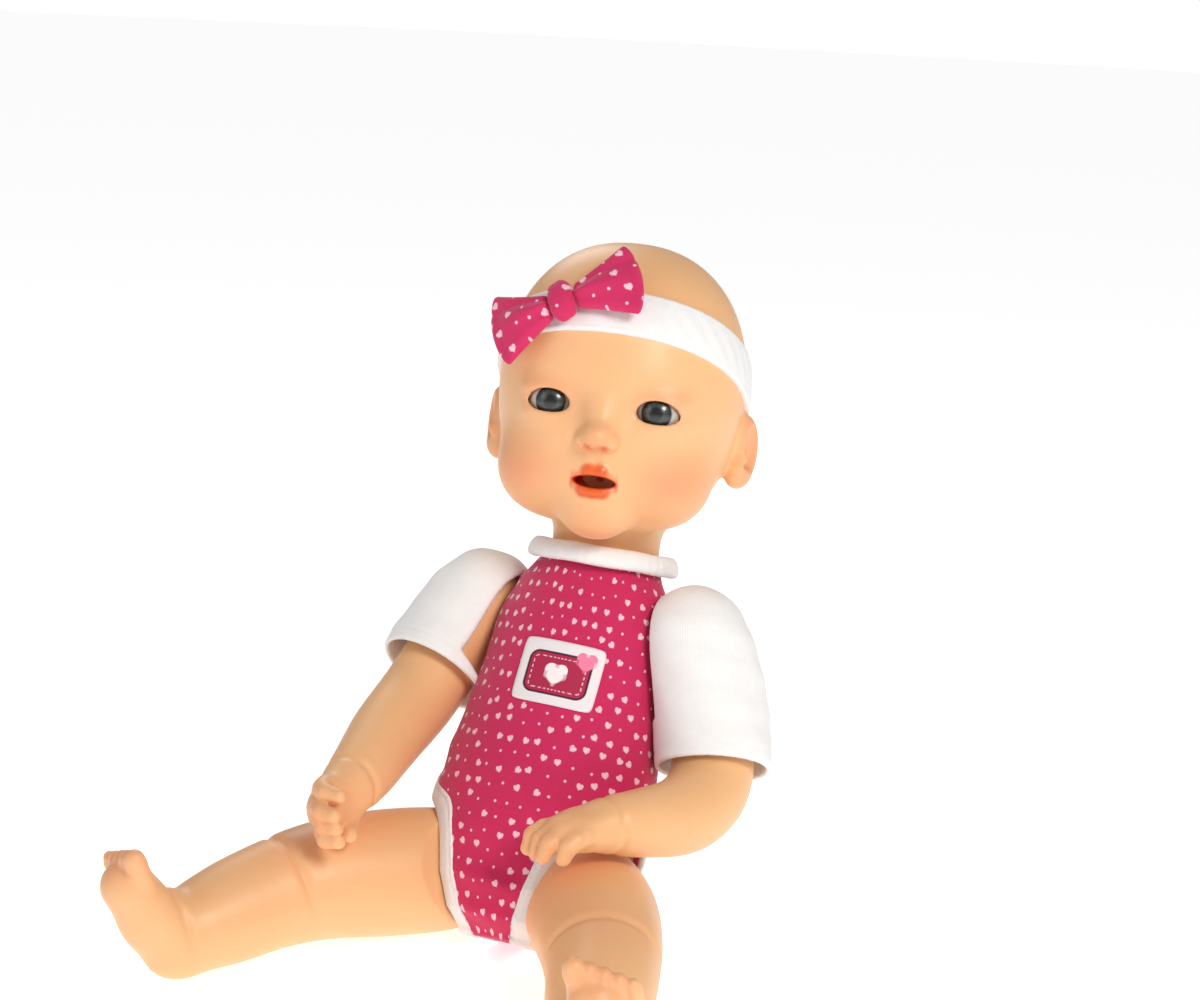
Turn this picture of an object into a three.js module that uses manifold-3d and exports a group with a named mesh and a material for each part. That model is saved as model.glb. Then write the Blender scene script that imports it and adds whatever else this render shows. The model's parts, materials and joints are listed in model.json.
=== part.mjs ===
// Interactive baby doll, 38 cm size, sitting: millimetres, +Z up, the face looks along -Y,
// +X is the doll's own left. The origin is on the floor, under the middle of the seat.
import * as THREE from 'three';
import { mergeVertices } from 'three/addons/utils/BufferGeometryUtils.js';
import Module from 'manifold-3d';

const wasm = await Module();
wasm.setup();

// ---- Driving dimensions -------------------------------------------------------------------

const GAP = 0.3;                      // air between pieces that touch on the real doll
const WALL = 2.4;                     // moulded shells

const LEAN = 24;                      // torso leans back, degrees
const PELVIS = [0, 6, 27];            // middle of the hips
// Torso sections, in the torso's own frame: [height, half width, half depth].
const TORSO_SECTIONS = [
  [-27, 17, 15], [-22, 25, 21], [-12, 31, 26], [4, 34, 28.5], [22, 33.5, 28.5],
  [40, 31, 26], [58, 29, 23], [74, 28.5, 20.5], [86, 24, 18], [93, 19, 16.5], [97, 17, 15.5],
];
const TORSO_TOP = 97;
const CLOTH = 1.0;                    // bodysuit thickness
const BINDING = 5.5;                  // width of the white edging

const NECK_TILT = 8;                  // swivel axis leans back
const HEAD_TURN = 18;                 // rest pose: head turned to the doll's left
const NECK_R = 17.5;
const HEAD_DROP = 3.5;                // head's frame below the swivel, so the chin nears the collar
const HEAD_CENTRE = [0, -1, 57];      // in the head's frame
const HEAD_HALF_WIDTH = 39;
const HEAD_FRONT = 43;
const HEAD_BACK = 46;
const HEAD_UP = 48;
const HEAD_DOWN = 45;
const HEAD_SQUARENESS = 2.25;         // 2 is an ellipsoid

const EYE_CENTRE = [16.5, -31.8, 54];
const EYE_R = 8.2;
const LID_R = 8.7;
const EYE_CLEAR_R = 9.1;
const IRIS_R = 4.2;
const EYE_OPENING = [12.4, 8.6];
const LID_MARGIN = 34;                // lid edge above the line of sight when open, degrees

const MOUTH_CENTRE = [0, -40, 31];
const MOUTH_OPENING = [14.5, 5.6];
const MOUTH_DEPTH = 13;
const PLUNGER_R = 2.2;

const EAR_CENTRE = [39.6, 5, 43.4];
const EAR_HALF = [4.6, 7.4, 11.6];

const BAND_WIDTH = 14.5;
const BAND_MID = [0, 3, 64];          // a point in the band's middle plane
const BAND_TILT = 25;                 // high on the forehead, low at the nape
const BOW_TURN = -18;                 // bow sits over the right temple, degrees from the front
const BOW_LIFT = 22;                  // its left-hand side is higher

const SHOULDER_HEIGHT = 69;           // where the shoulder axis crosses the torso's middle
const SHOULDER_RISE = 12;             // shoulder axis points outwards and up
const SHOULDER_PLANE = 28;            // from the torso's middle to the joint face, along the axis
const SHOULDER_R = 26;

const HIP = [22, -2, 20];             // left hip ball centre
const HIP_R = 18;
const HIP_DROP = 16;                  // hip axis points outwards and down
const HIP_PLANE = 17.5;               // from the middle to the joint face, along the axis

const BATTERY_R = 5.25;               // AAA cells
const BATTERY_LENGTH = 44.5;

// ---- Solids -------------------------------------------------------------------------------

const radians = THREE.MathUtils.degToRad;
const vec = (p) => new THREE.Vector3(...p);

function meshData(geometry) {
  const bare = geometry.clone();
  for (const name of Object.keys(bare.attributes)) {
    if (name !== 'position') bare.deleteAttribute(name);
  }
  const merged = mergeVertices(bare, 1e-3);
  const kept = [];
  const index = merged.index.array;
  for (let i = 0; i < index.length; i += 3) {
    const [a, b, c] = [index[i], index[i + 1], index[i + 2]];
    if (a !== b && b !== c && c !== a) kept.push(a, b, c);
  }
  return { points: new Float32Array(merged.attributes.position.array), faces: kept };
}

function solidOf(geometry) {
  const { points, faces } = meshData(geometry);
  const build = (triVerts) => new wasm.Manifold(
    new wasm.Mesh({ numProp: 3, vertProperties: points, triVerts: new Uint32Array(triVerts) }));
  const solid = build(faces);
  if (solid.volume() > 0) return solid;
  const turned = [];
  for (let i = 0; i < faces.length; i += 3) turned.push(faces[i], faces[i + 2], faces[i + 1]);
  return build(turned);
}

function geometryOf(solid) {
  const mesh = solid.getMesh();
  const count = mesh.numProp;
  const points = new Float32Array((mesh.vertProperties.length / count) * 3);
  for (let i = 0; i < points.length / 3; i += 1) {
    for (let k = 0; k < 3; k += 1) points[3 * i + k] = mesh.vertProperties[count * i + k];
  }
  const geometry = new THREE.BufferGeometry();
  geometry.setAttribute('position', new THREE.BufferAttribute(points, 3));
  geometry.setIndex(new THREE.BufferAttribute(new Uint32Array(mesh.triVerts), 1));
  geometry.computeVertexNormals();
  return geometry;
}

const join = (...solids) => solids.reduce((a, b) => a.add(b));
const cut = (body, ...tools) => tools.reduce((a, b) => a.subtract(b), body);
const overlap = (...solids) => solids.reduce((a, b) => a.intersect(b));

function largest(solid) {
  return solid.decompose().sort((a, b) => b.volume() - a.volume())[0];
}

function moveVertices(geometry, change) {
  const position = geometry.attributes.position;
  const point = new THREE.Vector3();
  for (let i = 0; i < position.count; i += 1) {
    change(point.fromBufferAttribute(position, i));
    position.setXYZ(i, point.x, point.y, point.z);
  }
  return geometry;
}

// ---- Plain shapes, all +Z up --------------------------------------------------------------

function ball(half, at, across = 12, up = 8) {
  const [rx, ry, rz] = Array.isArray(half) ? half : [half, half, half];
  const geometry = new THREE.SphereGeometry(1, across, up).rotateX(Math.PI / 2);
  return solidOf(geometry.scale(rx, ry, rz).translate(...at));
}

function block(size, at) {
  return solidOf(new THREE.BoxGeometry(...size).translate(...at));
}

// A block in a frame of its own, such as a half space on one side of a tilted plane.
function blockIn(frame, size, at) {
  return solidOf(new THREE.BoxGeometry(...size).translate(...at).applyMatrix4(frame));
}

function rodGeometry(radius, length, sides = 20) {
  return new THREE.CylinderGeometry(radius, radius, length, sides).rotateX(Math.PI / 2);
}

// A round bar along a frame's Z, between two heights.
function rodIn(frame, radius, low, high, sides = 20) {
  const geometry = rodGeometry(radius, high - low, sides).translate(0, 0, (low + high) / 2);
  return solidOf(geometry.applyMatrix4(frame));
}

// A turned solid about a frame's Z; the profile is a list of [radius, height].
function turnedIn(frame, profile, sides = 18) {
  const points = profile.map(([r, z]) => new THREE.Vector2(r, z));
  const geometry = new THREE.LatheGeometry(points, sides).rotateX(Math.PI / 2);
  return solidOf(geometry.applyMatrix4(frame));
}

// A frame with its Z along a direction.
function frameAlong(direction, at = [0, 0, 0]) {
  const turn = new THREE.Quaternion().setFromUnitVectors(
    new THREE.Vector3(0, 0, 1), vec(direction).normalize());
  return new THREE.Matrix4().compose(vec(at), turn, new THREE.Vector3(1, 1, 1));
}

// A smooth tapering tube with round ends: keys are [x, y, z, radius] along its middle.
function limb(keys, rings = 14, sides = 16) {
  const path = new THREE.CatmullRomCurve3(keys.map((k) => vec(k)), false, 'centripetal');
  const sizes = new THREE.CatmullRomCurve3(
    keys.map((k, i) => new THREE.Vector3(i / (keys.length - 1), k[3], 0)), false, 'centripetal');
  const frames = path.computeFrenetFrames(rings, false);
  const capSteps = [90, 45];
  const stations = [];
  const station = (ring, angle, side) => {
    const t = ring / rings;
    const radius = sizes.getPoint(t).y;
    const middle = path.getPointAt(path.getUtoTmapping ? t : t)
      .addScaledVector(frames.tangents[ring], side * radius * Math.sin(radians(angle)));
    stations.push({ middle, radius: radius * Math.cos(radians(angle)), ring });
  };
  for (const angle of capSteps) station(0, angle, -1);
  for (let ring = 0; ring <= rings; ring += 1) station(ring, 0, 0);
  for (const angle of [...capSteps].reverse()) station(rings, angle, 1);
  const profile = stations.map((_, i) => new THREE.Vector2(
    i === 0 || i === stations.length - 1 ? 0 : 1, i));
  const geometry = new THREE.LatheGeometry(profile, sides);
  moveVertices(geometry, (p) => {
    const { middle, radius, ring } = stations[Math.round(p.y)];
    const [u, v] = [p.x * radius, p.z * radius];
    p.copy(middle).addScaledVector(frames.normals[ring], u)
      .addScaledVector(frames.binormals[ring], v);
  });
  return solidOf(geometry);
}

// ---- Scene graph --------------------------------------------------------------------------

const colours = {
  vinyl: [0xe9b98a, 0.55, 0], lips: [0xc8401f, 0.5, 0], crimson: [0xc8235a, 0.85, 0],
  white_cloth: [0xf4f3f2, 0.9, 0], label: [0xf2eef0, 0.8, 0], casing: [0xe8d3bf, 0.6, 0],
  dark_plastic: [0x2b2b2e, 0.5, 0], eye_white: [0xf2f2ee, 0.2, 0], iris: [0x39504a, 0.15, 0],
  lashes: [0x1a1412, 0.7, 0], steel: [0x9a9a9c, 0.35, 1], cell: [0x3d6b45, 0.4, 0.2],
  board: [0x1f6a3a, 0.5, 0], grey_plastic: [0x8d8f94, 0.5, 0],
};
const materials = Object.fromEntries(Object.entries(colours).map(([name, [color, roughness,
  metalness]]) => [name, new THREE.MeshStandardMaterial({ name, color, roughness, metalness })]));

const doll = new THREE.Group();

function frameGroup(parent, at, tiltX = 0, turnZ = 0) {
  const group = new THREE.Group();
  group.position.set(...at);
  group.rotation.set(radians(tiltX), 0, radians(turnZ), 'XYZ');
  parent.add(group);
  doll.updateMatrixWorld(true);
  return group;
}

// Adds a solid made in the group's own frame.
function addPiece(group, name, solid, material) {
  const mesh = new THREE.Mesh(geometryOf(largest(solid)), materials[material]);
  mesh.name = name;
  group.add(mesh);
}

// Adds a solid made in the doll's frame to a group that stands elsewhere.
function addPlaced(group, name, solid, material) {
  const inverse = group.matrixWorld.clone().invert();
  const mesh = new THREE.Mesh(geometryOf(largest(solid)).applyMatrix4(inverse),
    materials[material]);
  mesh.name = name;
  group.add(mesh);
}

const torso = frameGroup(doll, PELVIS, -LEAN);
const onTorso = (p) => vec(p).applyMatrix4(torso.matrixWorld).toArray();
const neck = frameGroup(doll, onTorso([0, 0, TORSO_TOP]), -NECK_TILT);
const head = frameGroup(neck, [0, 0, -HEAD_DROP], 0, HEAD_TURN);

const mirrored = (p, side) => [side * p[0], p[1], p[2]];
const hipAxis = (side) => [side * Math.cos(radians(HIP_DROP)), 0, -Math.sin(radians(HIP_DROP))];
const shoulderAxis = (side) => vec([side * Math.cos(radians(SHOULDER_RISE)), 0,
  Math.sin(radians(SHOULDER_RISE))]).transformDirection(torso.matrixWorld).toArray();

// Z along the joint's axis, origin where the axis crosses the doll's middle plane.
function hipFrame(side) {
  const drop = Math.tan(radians(HIP_DROP)) * HIP[0];
  return frameAlong(hipAxis(side), [0, HIP[1], HIP[2] + drop]);
}
const shoulderFrame = (side) => frameAlong(shoulderAxis(side), onTorso([0, 0, SHOULDER_HEIGHT]));

// ---- Torso and bodysuit -------------------------------------------------------------------

function torsoLoft(offset, top = TORSO_TOP) {
  const keys = TORSO_SECTIONS.map(([z, a, b]) => [z, a + offset, b + offset]);
  keys[0][0] -= offset;
  keys[keys.length - 1][0] = top;
  const points = [new THREE.Vector2(0, keys[0][0])];
  for (const [z, a] of keys) points.push(new THREE.Vector2(a, z));
  points.push(new THREE.Vector2(0, top));
  const geometry = new THREE.LatheGeometry(points, 18).rotateX(Math.PI / 2);
  moveVertices(geometry, (p) => {
    const key = keys.find((k) => Math.abs(k[0] - p.z) < 1e-3);
    p.y *= key[2] / key[1];
  });
  return solidOf(geometry.applyMatrix4(torso.matrixWorld));
}

// What the leg and arm need clear, grown by some millimetres.
function legRoom(side, grow, sides = 16) {
  const frame = hipFrame(side);
  const hip = mirrored(HIP, side);
  const outside = turnedIn(frame, [[0, HIP_PLANE - grow], [26, HIP_PLANE - grow],
    [70, HIP_PLANE + 31 - grow], [70, 110], [0, 110]], sides);
  const socket = overlap(ball(HIP_R + 1.4 + grow, hip, sides - 4, 8), outside);
  const sweep = overlap(outside, block([200, 160, 200], [0, 17 + grow - 80, 42 + grow - 100]));
  return join(socket, sweep);
}

const armRoom = (side, grow, sides = 14) => rodIn(shoulderFrame(side), SHOULDER_R + grow,
  SHOULDER_PLANE - grow, 90, sides);

function limbRoom(grow, sides = 14) {
  return join(legRoom(1, grow, sides), legRoom(-1, grow, sides), armRoom(1, grow, sides),
    armRoom(-1, grow, sides));
}

const floorRoom = (height) => block([400, 400, 100], [0, 0, height - 50]);
const neckRoom = (radius, grow) => join(
  blockIn(neck.matrixWorld, [200, 200, 60], [0, 0, 30 - grow]),
  rodIn(neck.matrixWorld, radius, -3 - grow, 10));

function torsoShell() {
  const outer = cut(torsoLoft(0), limbRoom(CLOTH + 0.6), floorRoom(CLOTH + GAP), neckRoom(1, 0.2));
  const inner = cut(torsoLoft(-WALL), limbRoom(CLOTH + 0.6 + WALL, 10), floorRoom(4), neckRoom(1, 3));
  let shell = cut(outer, inner, rodIn(neck.matrixWorld, 6.4, -8, 4));
  for (const side of [1, -1]) {
    shell = cut(shell, rodIn(hipFrame(side), 6.4, 8, 40), rodIn(shoulderFrame(side), 5.4, 18, 50));
  }
  return shell;
}

const SCREW_PLACES = [[-18, 62], [18, 62], [-18, 8], [18, 8]];
const BATTERY_MID = 33;
const DOOR = [26, 44];
const torsoY = () => new THREE.Matrix4().copy(torso.matrixWorld)
  .multiply(new THREE.Matrix4().makeRotationX(-Math.PI / 2));     // frame's Z = torso's +Y
const acrossTorso = (x, z) => torsoY().multiply(new THREE.Matrix4().makeTranslation(x, -z, 0));

function casing() {
  const shell = torsoShell();
  let front = overlap(shell, blockIn(torso.matrixWorld, [200, 100, 300], [0, -50.15, 0]));
  let back = overlap(shell, blockIn(torso.matrixWorld, [200, 100, 300], [0, 50.15, 0]));
  const doorway = (edge) => blockIn(torso.matrixWorld, [DOOR[0] - edge, 30, DOOR[1] - edge],
    [0, 30, BATTERY_MID]);
  addPlaced(torso, 'battery_door', overlap(back, doorway(2 * GAP)), 'casing');
  back = cut(back, doorway(0));
  back = cut(back, blockIn(torso.matrixWorld, [9, 30, 6], [0, 30, 63]));
  for (let i = 0; i < 3; i += 1) {
    for (let k = 0; k < 3; k += 1) {
      front = cut(front, rodIn(acrossTorso(-6 + 6 * i, 44 + 6 * k), 1.2, -40, 0, 8));
    }
  }
  SCREW_PLACES.forEach(([x, z]) => {
    back = cut(back, rodIn(acrossTorso(x, z), 3.2, 0, 60, 12));
  });
  addPlaced(torso, 'torso_front_casing', front, 'casing');
  addPlaced(torso, 'torso_back_casing', back, 'casing');
  SCREW_PLACES.forEach(([x, z], i) => {
    const frame = acrossTorso(x, z);
    addPlaced(torso, `casing_screw_${i + 1}`,
      join(rodIn(frame, 2.7, 12, 14, 12), rodIn(frame, 1.3, 4, 12.5, 8)), 'steel');
  });
}

function battery() {
  const inTorso = (size, at) => blockIn(torso.matrixWorld, size, at);
  const depth = 12.4;
  const tray = cut(inTorso([26, depth, 49], [0, 9, BATTERY_MID]),
    inTorso([23.6, depth, 46.8], [0, 10.4, BATTERY_MID]));
  addPlaced(torso, 'battery_tray', tray, 'dark_plastic');
  for (let i = 0; i < 2; i += 1) {
    const frame = torso.matrixWorld.clone().multiply(
      new THREE.Matrix4().makeTranslation(11.2 * (i - 0.5), 9.8, BATTERY_MID));
    const cell = join(rodIn(frame, BATTERY_R, -22.2, 21, 10), rodIn(frame, 1.9, 20.5, 22.2, 8));
    addPlaced(torso, `battery_${i + 1}`, cell, 'cell');
  }
  for (const side of [1, -1]) {
    addPlaced(torso, `battery_contact_${side > 0 ? 'top' : 'bottom'}`,
      inTorso([22, 8, 0.6], [0, 9.8, BATTERY_MID + side * 22.8]), 'steel');
  }
  addPlaced(torso, 'circuit_board', inTorso([24, 1.6, 32], [0, 0.6, BATTERY_MID + 4]), 'board');
  addPlaced(torso, 'sound_chip', inTorso([9, 1.4, 9], [0, -1.3, BATTERY_MID]), 'dark_plastic');
  const speaker = acrossTorso(0, 50);
  addPlaced(torso, 'speaker', join(rodIn(speaker, 13, -17, -14.5, 20),
    rodIn(speaker, 7, -15, -7, 16)), 'dark_plastic');
}

function bodysuit() {
  const base = torsoLoft(CLOTH + GAP);
  const hollow = cut(torsoLoft(GAP), floorRoom(CLOTH));
  const whole = cut(base, hollow, floorRoom(0), limbRoom(0), neckRoom(NECK_R + 2.2, -1.2));
  const edging = (side) => overlap(whole, cut(legRoom(side, BINDING), legRoom(side, 0)));
  addPlaced(torso, 'leg_binding_left', edging(1), 'white_cloth');
  addPlaced(torso, 'leg_binding_right', edging(-1), 'white_cloth');
  addPlaced(torso, 'bodysuit', cut(whole, legRoom(1, BINDING + GAP), legRoom(-1, BINDING + GAP)),
    'crimson');
  const collar = frameGroup(doll, onTorso([0, 0, TORSO_TOP - 1.2]), -15);
  const ring = turnedIn(new THREE.Matrix4(), [[20, 1], [22.6, -1.2], [24.2, -1], [22.4, 4.6],
    [20.6, 4.9], [20, 1]], 32);
  addPiece(collar, 'neck_binding', ring, 'white_cloth');
}

function chestLabel() {
  const slab = cut(torsoLoft(CLOTH + 1.3), torsoLoft(CLOTH + 0.6 + 0.05));
  const place = new THREE.Matrix4().copy(torso.matrixWorld)
    .multiply(new THREE.Matrix4().makeRotationZ(radians(14)))
    .multiply(new THREE.Matrix4().makeTranslation(0, -30, 55));
  addPlaced(torso, 'chest_label', overlap(slab, blockIn(place, [27, 30, 21], [0, 0, 0])), 'label');
}

function neckPost() {
  addPiece(neck, 'neck_post', turnedIn(new THREE.Matrix4(), [[0, -6.5], [9, -6.5], [9, -5.5],
    [5.8, -5], [5.8, 3], [13, 5.2], [11, 7.5], [0, 8]], 24), 'casing');
}

function powerSwitch() {
  const mount = frameGroup(torso, [0, 21.2, 63]);
  addPiece(mount, 'switch_housing', cut(block([14, 4, 7], [0, -5.4, 0]),
    block([9, 2.6, 4.6], [0, -3.9, 0])), 'dark_plastic');
  addPiece(mount, 'switch_knob', block([3.4, 3.8, 3.6], [-1.6, -2.7, 0]), 'grey_plastic');
}

// ---- Head ---------------------------------------------------------------------------------

// Distance from the head's centre to its surface; cheeks are full, the chin is narrow.
function headReach(d) {
  const width = HEAD_HALF_WIDTH - 2 * Math.max(0, -d.z);
  const depth = d.y < 0 ? HEAD_FRONT : HEAD_BACK;
  const height = d.z < 0 ? HEAD_DOWN : HEAD_UP;
  const p = HEAD_SQUARENESS;
  const sum = Math.abs(d.x / width) ** p + Math.abs(d.y / depth) ** p + Math.abs(d.z / height) ** p;
  return sum ** (-1 / p);
}

function headSolid(offset) {
  const geometry = new THREE.SphereGeometry(1, 24, 14).rotateX(Math.PI / 2);
  moveVertices(geometry, (p) => p.normalize().multiplyScalar(headReach(p.clone()) + offset));
  return solidOf(geometry.translate(...HEAD_CENTRE));
}

function headOuter() {
  const [mx, my, mz] = MOUTH_CENTRE;
  const parts = [
    ball([14, 12, 11], [0, -29, 31]), ball([10, 9, 7], [0, -29.5, 20.5]),
    ball([5.2, 4.6, 4.4], [0, -43.2, 44.5], 12, 8),
    ball([8.6, 3, 2.4], [mx, my - 1.2, mz + 3.6], 12, 8),
    ball([7.2, 3, 2.6], [mx, my - 0.8, mz - 4], 12, 8),
    rodIn(new THREE.Matrix4(), NECK_R, HEAD_DROP, 26, 20),
  ];
  for (const side of [1, -1]) parts.push(ball([15, 14, 13], [side * 17.5, -22.5, 33], 14, 10));
  return join(headSolid(0), ...parts);
}

function ear(side) {
  const shape = ball(EAR_HALF, [0, 0, 0], 14, 10);
  const dent = ball([3, 3.6, 6.5], [3.6, -1.6, 1], 10, 8);
  const whole = cut(shape, dent).rotate([-8, 0, -14]).translate(EAR_CENTRE);
  return side > 0 ? whole : whole.mirror([1, 0, 0]);
}

function headShell() {
  const upright = new THREE.Matrix4();
  const hollow = join(headSolid(-WALL - 0.6), rodIn(upright, NECK_R - WALL, 4.1 + HEAD_DROP, 26, 20));
  let shell = cut(join(headOuter(), ear(1), ear(-1)), hollow, rodIn(upright, 7.2, -1, 10));
  const swivel = new THREE.Matrix4().makeTranslation(0, 0, HEAD_DROP);
  shell = cut(shell, turnedIn(swivel, [[0, 2.2], [6, 2.2], [14, 4.6], [14, 9], [0, 9]], 18));
  for (const side of [1, -1]) {
    const at = mirrored(EYE_CENTRE, side);
    const opening = new THREE.CylinderGeometry(1, 1, 30, 20)
      .scale(EYE_OPENING[0] / 2, 1, EYE_OPENING[1] / 2).translate(at[0] + side * 0.4, -40, at[2]);
    shell = cut(shell, ball(EYE_CLEAR_R, at, 16, 12), solidOf(opening));
  }
  const mouth = new THREE.CylinderGeometry(1, 1, 24, 18)
    .scale(MOUTH_OPENING[0] / 2, 1, MOUTH_OPENING[1] / 2).translate(...MOUTH_CENTRE);
  return cut(shell, solidOf(mouth));
}

function mouthParts() {
  const [, my, mz] = MOUTH_CENTRE;
  const tube = (w, h, from, to) => solidOf(new THREE.CylinderGeometry(1, 1, to - from, 18)
    .scale(w / 2, 1, h / 2).translate(0, (from + to) / 2, mz));
  const roomForCup = cut(tube(20, 11.5, my + 4.8, my + MOUTH_DEPTH + 2),
    tube(MOUTH_OPENING[0] + 0.6, MOUTH_OPENING[1] + 0.6, my, my + MOUTH_DEPTH));
  const back = frameAlong([0, 1, 0], [0, my + MOUTH_DEPTH, mz]);
  const cup = overlap(cut(roomForCup, rodIn(back, PLUNGER_R + 0.5, -2, 6, 14)),
    headSolid(-WALL - 1));
  addPiece(head, 'mouth_cup', cup, 'lips');
  const sensor = cut(rodIn(back, 4.6, 2.4, 12, 18), rodIn(back, PLUNGER_R + 1, 1, 10.4, 14));
  addPiece(head, 'mouth_sensor_housing', sensor, 'dark_plastic');
  const plunger = join(rodIn(back, PLUNGER_R, -1.6, 5, 14), rodIn(back, PLUNGER_R + 0.6, 3.2, 5, 14));
  addPiece(head, 'mouth_plunger', plunger, 'lips');
}

function headband() {
  const tilt = new THREE.Matrix4().makeTranslation(...BAND_MID)
    .multiply(new THREE.Matrix4().makeRotationX(-radians(BAND_TILT)));
  const band = cut(headSolid(1.5), headSolid(GAP + 0.05), 
    ball([7, 9, 13], EAR_CENTRE), ball([7, 9, 13], mirrored(EAR_CENTRE, -1)));
  addPiece(head, 'headband', overlap(band, blockIn(tilt, [120, 140, BAND_WIDTH], [0, 0, 0])),
    'white_cloth');
}

function bow() {
  const turn = new THREE.Group();
  turn.position.set(...BAND_MID);
  turn.rotation.set(-radians(BAND_TILT), 0, 0);
  head.add(turn);
  const place = frameGroup(turn, [0, 0, 0], 0, BOW_TURN);
  const seat = frameGroup(place, [0, -50.4, 0]);
  seat.rotation.set(0, -radians(BOW_LIFT), 0);
  addPiece(seat, 'bow_knot', ball([4.6, 3.2, 6.6], [0, -1.4, 0], 12, 8), 'crimson');
  for (const side of [1, -1]) {
    const outline = new THREE.Shape();
    outline.moveTo(5.2, -3.4);
    outline.lineTo(20.5, -12.4);
    outline.quadraticCurveTo(24.5, 0, 20.5, 12.4);
    outline.lineTo(5.2, 3.4);
    outline.closePath();
    const fan = new THREE.ExtrudeGeometry(outline, { depth: 3.6, bevelEnabled: true,
      bevelThickness: 1.2, bevelSize: 0.8, bevelSegments: 1, curveSegments: 4 });
    fan.rotateX(Math.PI / 2).translate(0, 0.6, 0);
    const loop = solidOf(fan).rotate([0, 0, 8]);
    addPiece(seat, side > 0 ? 'bow_loop_left' : 'bow_loop_right',
      side > 0 ? loop : loop.mirror([1, 0, 0]), 'crimson');
  }
}

// One sleeping eye, in a frame at the middle of the ball.
function eye(side, name) {
  const at = mirrored(EYE_CENTRE, side);
  const own = frameGroup(head, at);
  const middle = [0, 0, 0];
  const weightAt = [0, 3.2, -3.2];
  const sideways = frameAlong([1, 0, 0], weightAt);
  const irisFrame = frameAlong([0, -1, 0]);
  const pocket = join(rodIn(sideways, 2.9, -3.8, 3.8, 12), blockIn(frameAlong([0, 1, -1]),
    [7.6, 5.8, 8], [0, 0, 8.4]));
  const irisDisc = overlap(ball(EYE_R, middle, 16, 12), rodIn(irisFrame, IRIS_R, 6.2, 12, 20));
  const ballSolid = cut(ball(EYE_R, middle, 16, 12), pocket,
    rodIn(irisFrame, IRIS_R + GAP, 5.9, 12, 20));
  const lidSide = new THREE.Matrix4().makeRotationX(-radians(LID_MARGIN));
  const lid = overlap(cut(ball(LID_R, middle, 16, 12), ball(EYE_R + 0.15, middle, 16, 12)),
    blockIn(lidSide, [40, 40, 40], [0, 0, 20]), block([40, 14, 40], [0, -6.6, 0]));
  addPiece(own, `${name}_ball`, ballSolid, 'eye_white');
  addPiece(own, `${name}_iris`, irisDisc, 'iris');
  addPiece(own, `${name}_lid`, lid, 'vinyl');
  addPiece(own, `${name}_weight`, rodIn(sideways, 2.5, -3.4, 3.4, 12), 'steel');
  const holder = overlap(cut(ball(EYE_CLEAR_R + 1.2, at, 16, 12), ball(EYE_CLEAR_R, at, 16, 12)),
    headSolid(-WALL - 1), block([80, 20, 40], [side * 41.2, at[1] + 8, at[2]]));
  addPiece(head, `${name}_holder`, holder, 'dark_plastic');
}

// ---- Limbs --------------------------------------------------------------------------------

// Four curled fingers and a thumb; reach is the way they point, curl the way they bend.
function hand(wrist, reach, curl, thumbSide, bend) {
  const along = vec(reach).normalize();
  const inward = vec(curl).addScaledVector(along, -vec(curl).dot(along)).normalize();
  const across = new THREE.Vector3().crossVectors(along, inward).multiplyScalar(thumbSide);
  const at = (a, c, i) => vec(wrist).addScaledVector(along, a).addScaledVector(across, c)
    .addScaledVector(inward, i).toArray();
  const pieces = [limb([[...at(0, 0, 0), 7.6], [...at(8, 0.4, 0), 8.2], [...at(15, 0.4, 1), 7]],
    3, 10)];
  for (let f = 0; f < 4; f += 1) {
    const c = 6.6 - 4.3 * f;
    const long = f === 3 ? 0.8 : 1;
    pieces.push(limb([[...at(13, c, 0), 3.1], [...at(19 * long + 2, c, 1 + bend * 0.4), 3],
      [...at(22 * long + 2 - bend * 0.3, c, 4 + bend), 2.7]], 2, 7));
  }
  pieces.push(limb([[...at(4, 6, 1), 3.6], [...at(10, 9, 4), 3.2], [...at(14, 8.6, 7), 2.7]], 2, 7));
  return join(...pieces);
}

const LIMBS = {
  arm_left: {
    arm: [[37.5, 37, 98, 11.6], [45, 34, 80, 12], [52, 25, 58, 11.8], [52, 8, 50, 11.2],
      [46, -10, 49, 9.6], [40, -22, 49, 7.8]],
    hand: [[40, -22, 49], [-0.5, -0.85, -0.05], [0, 0, -1], -1, 2],
    sleeve: 2.05,
  },
  arm_right: {
    arm: [[-37.5, 37, 98, 11.6], [-43, 27, 85, 12], [-46, 10, 70, 11.8], [-45, -10, 62, 11],
      [-42, -28, 56, 9.4], [-41, -38, 53, 7.8]],
    hand: [[-41, -38, 53], [0.02, -0.97, -0.2], [1, 0, 0.1], -1, 5],
    sleeve: 1.45,
  },
};

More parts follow.
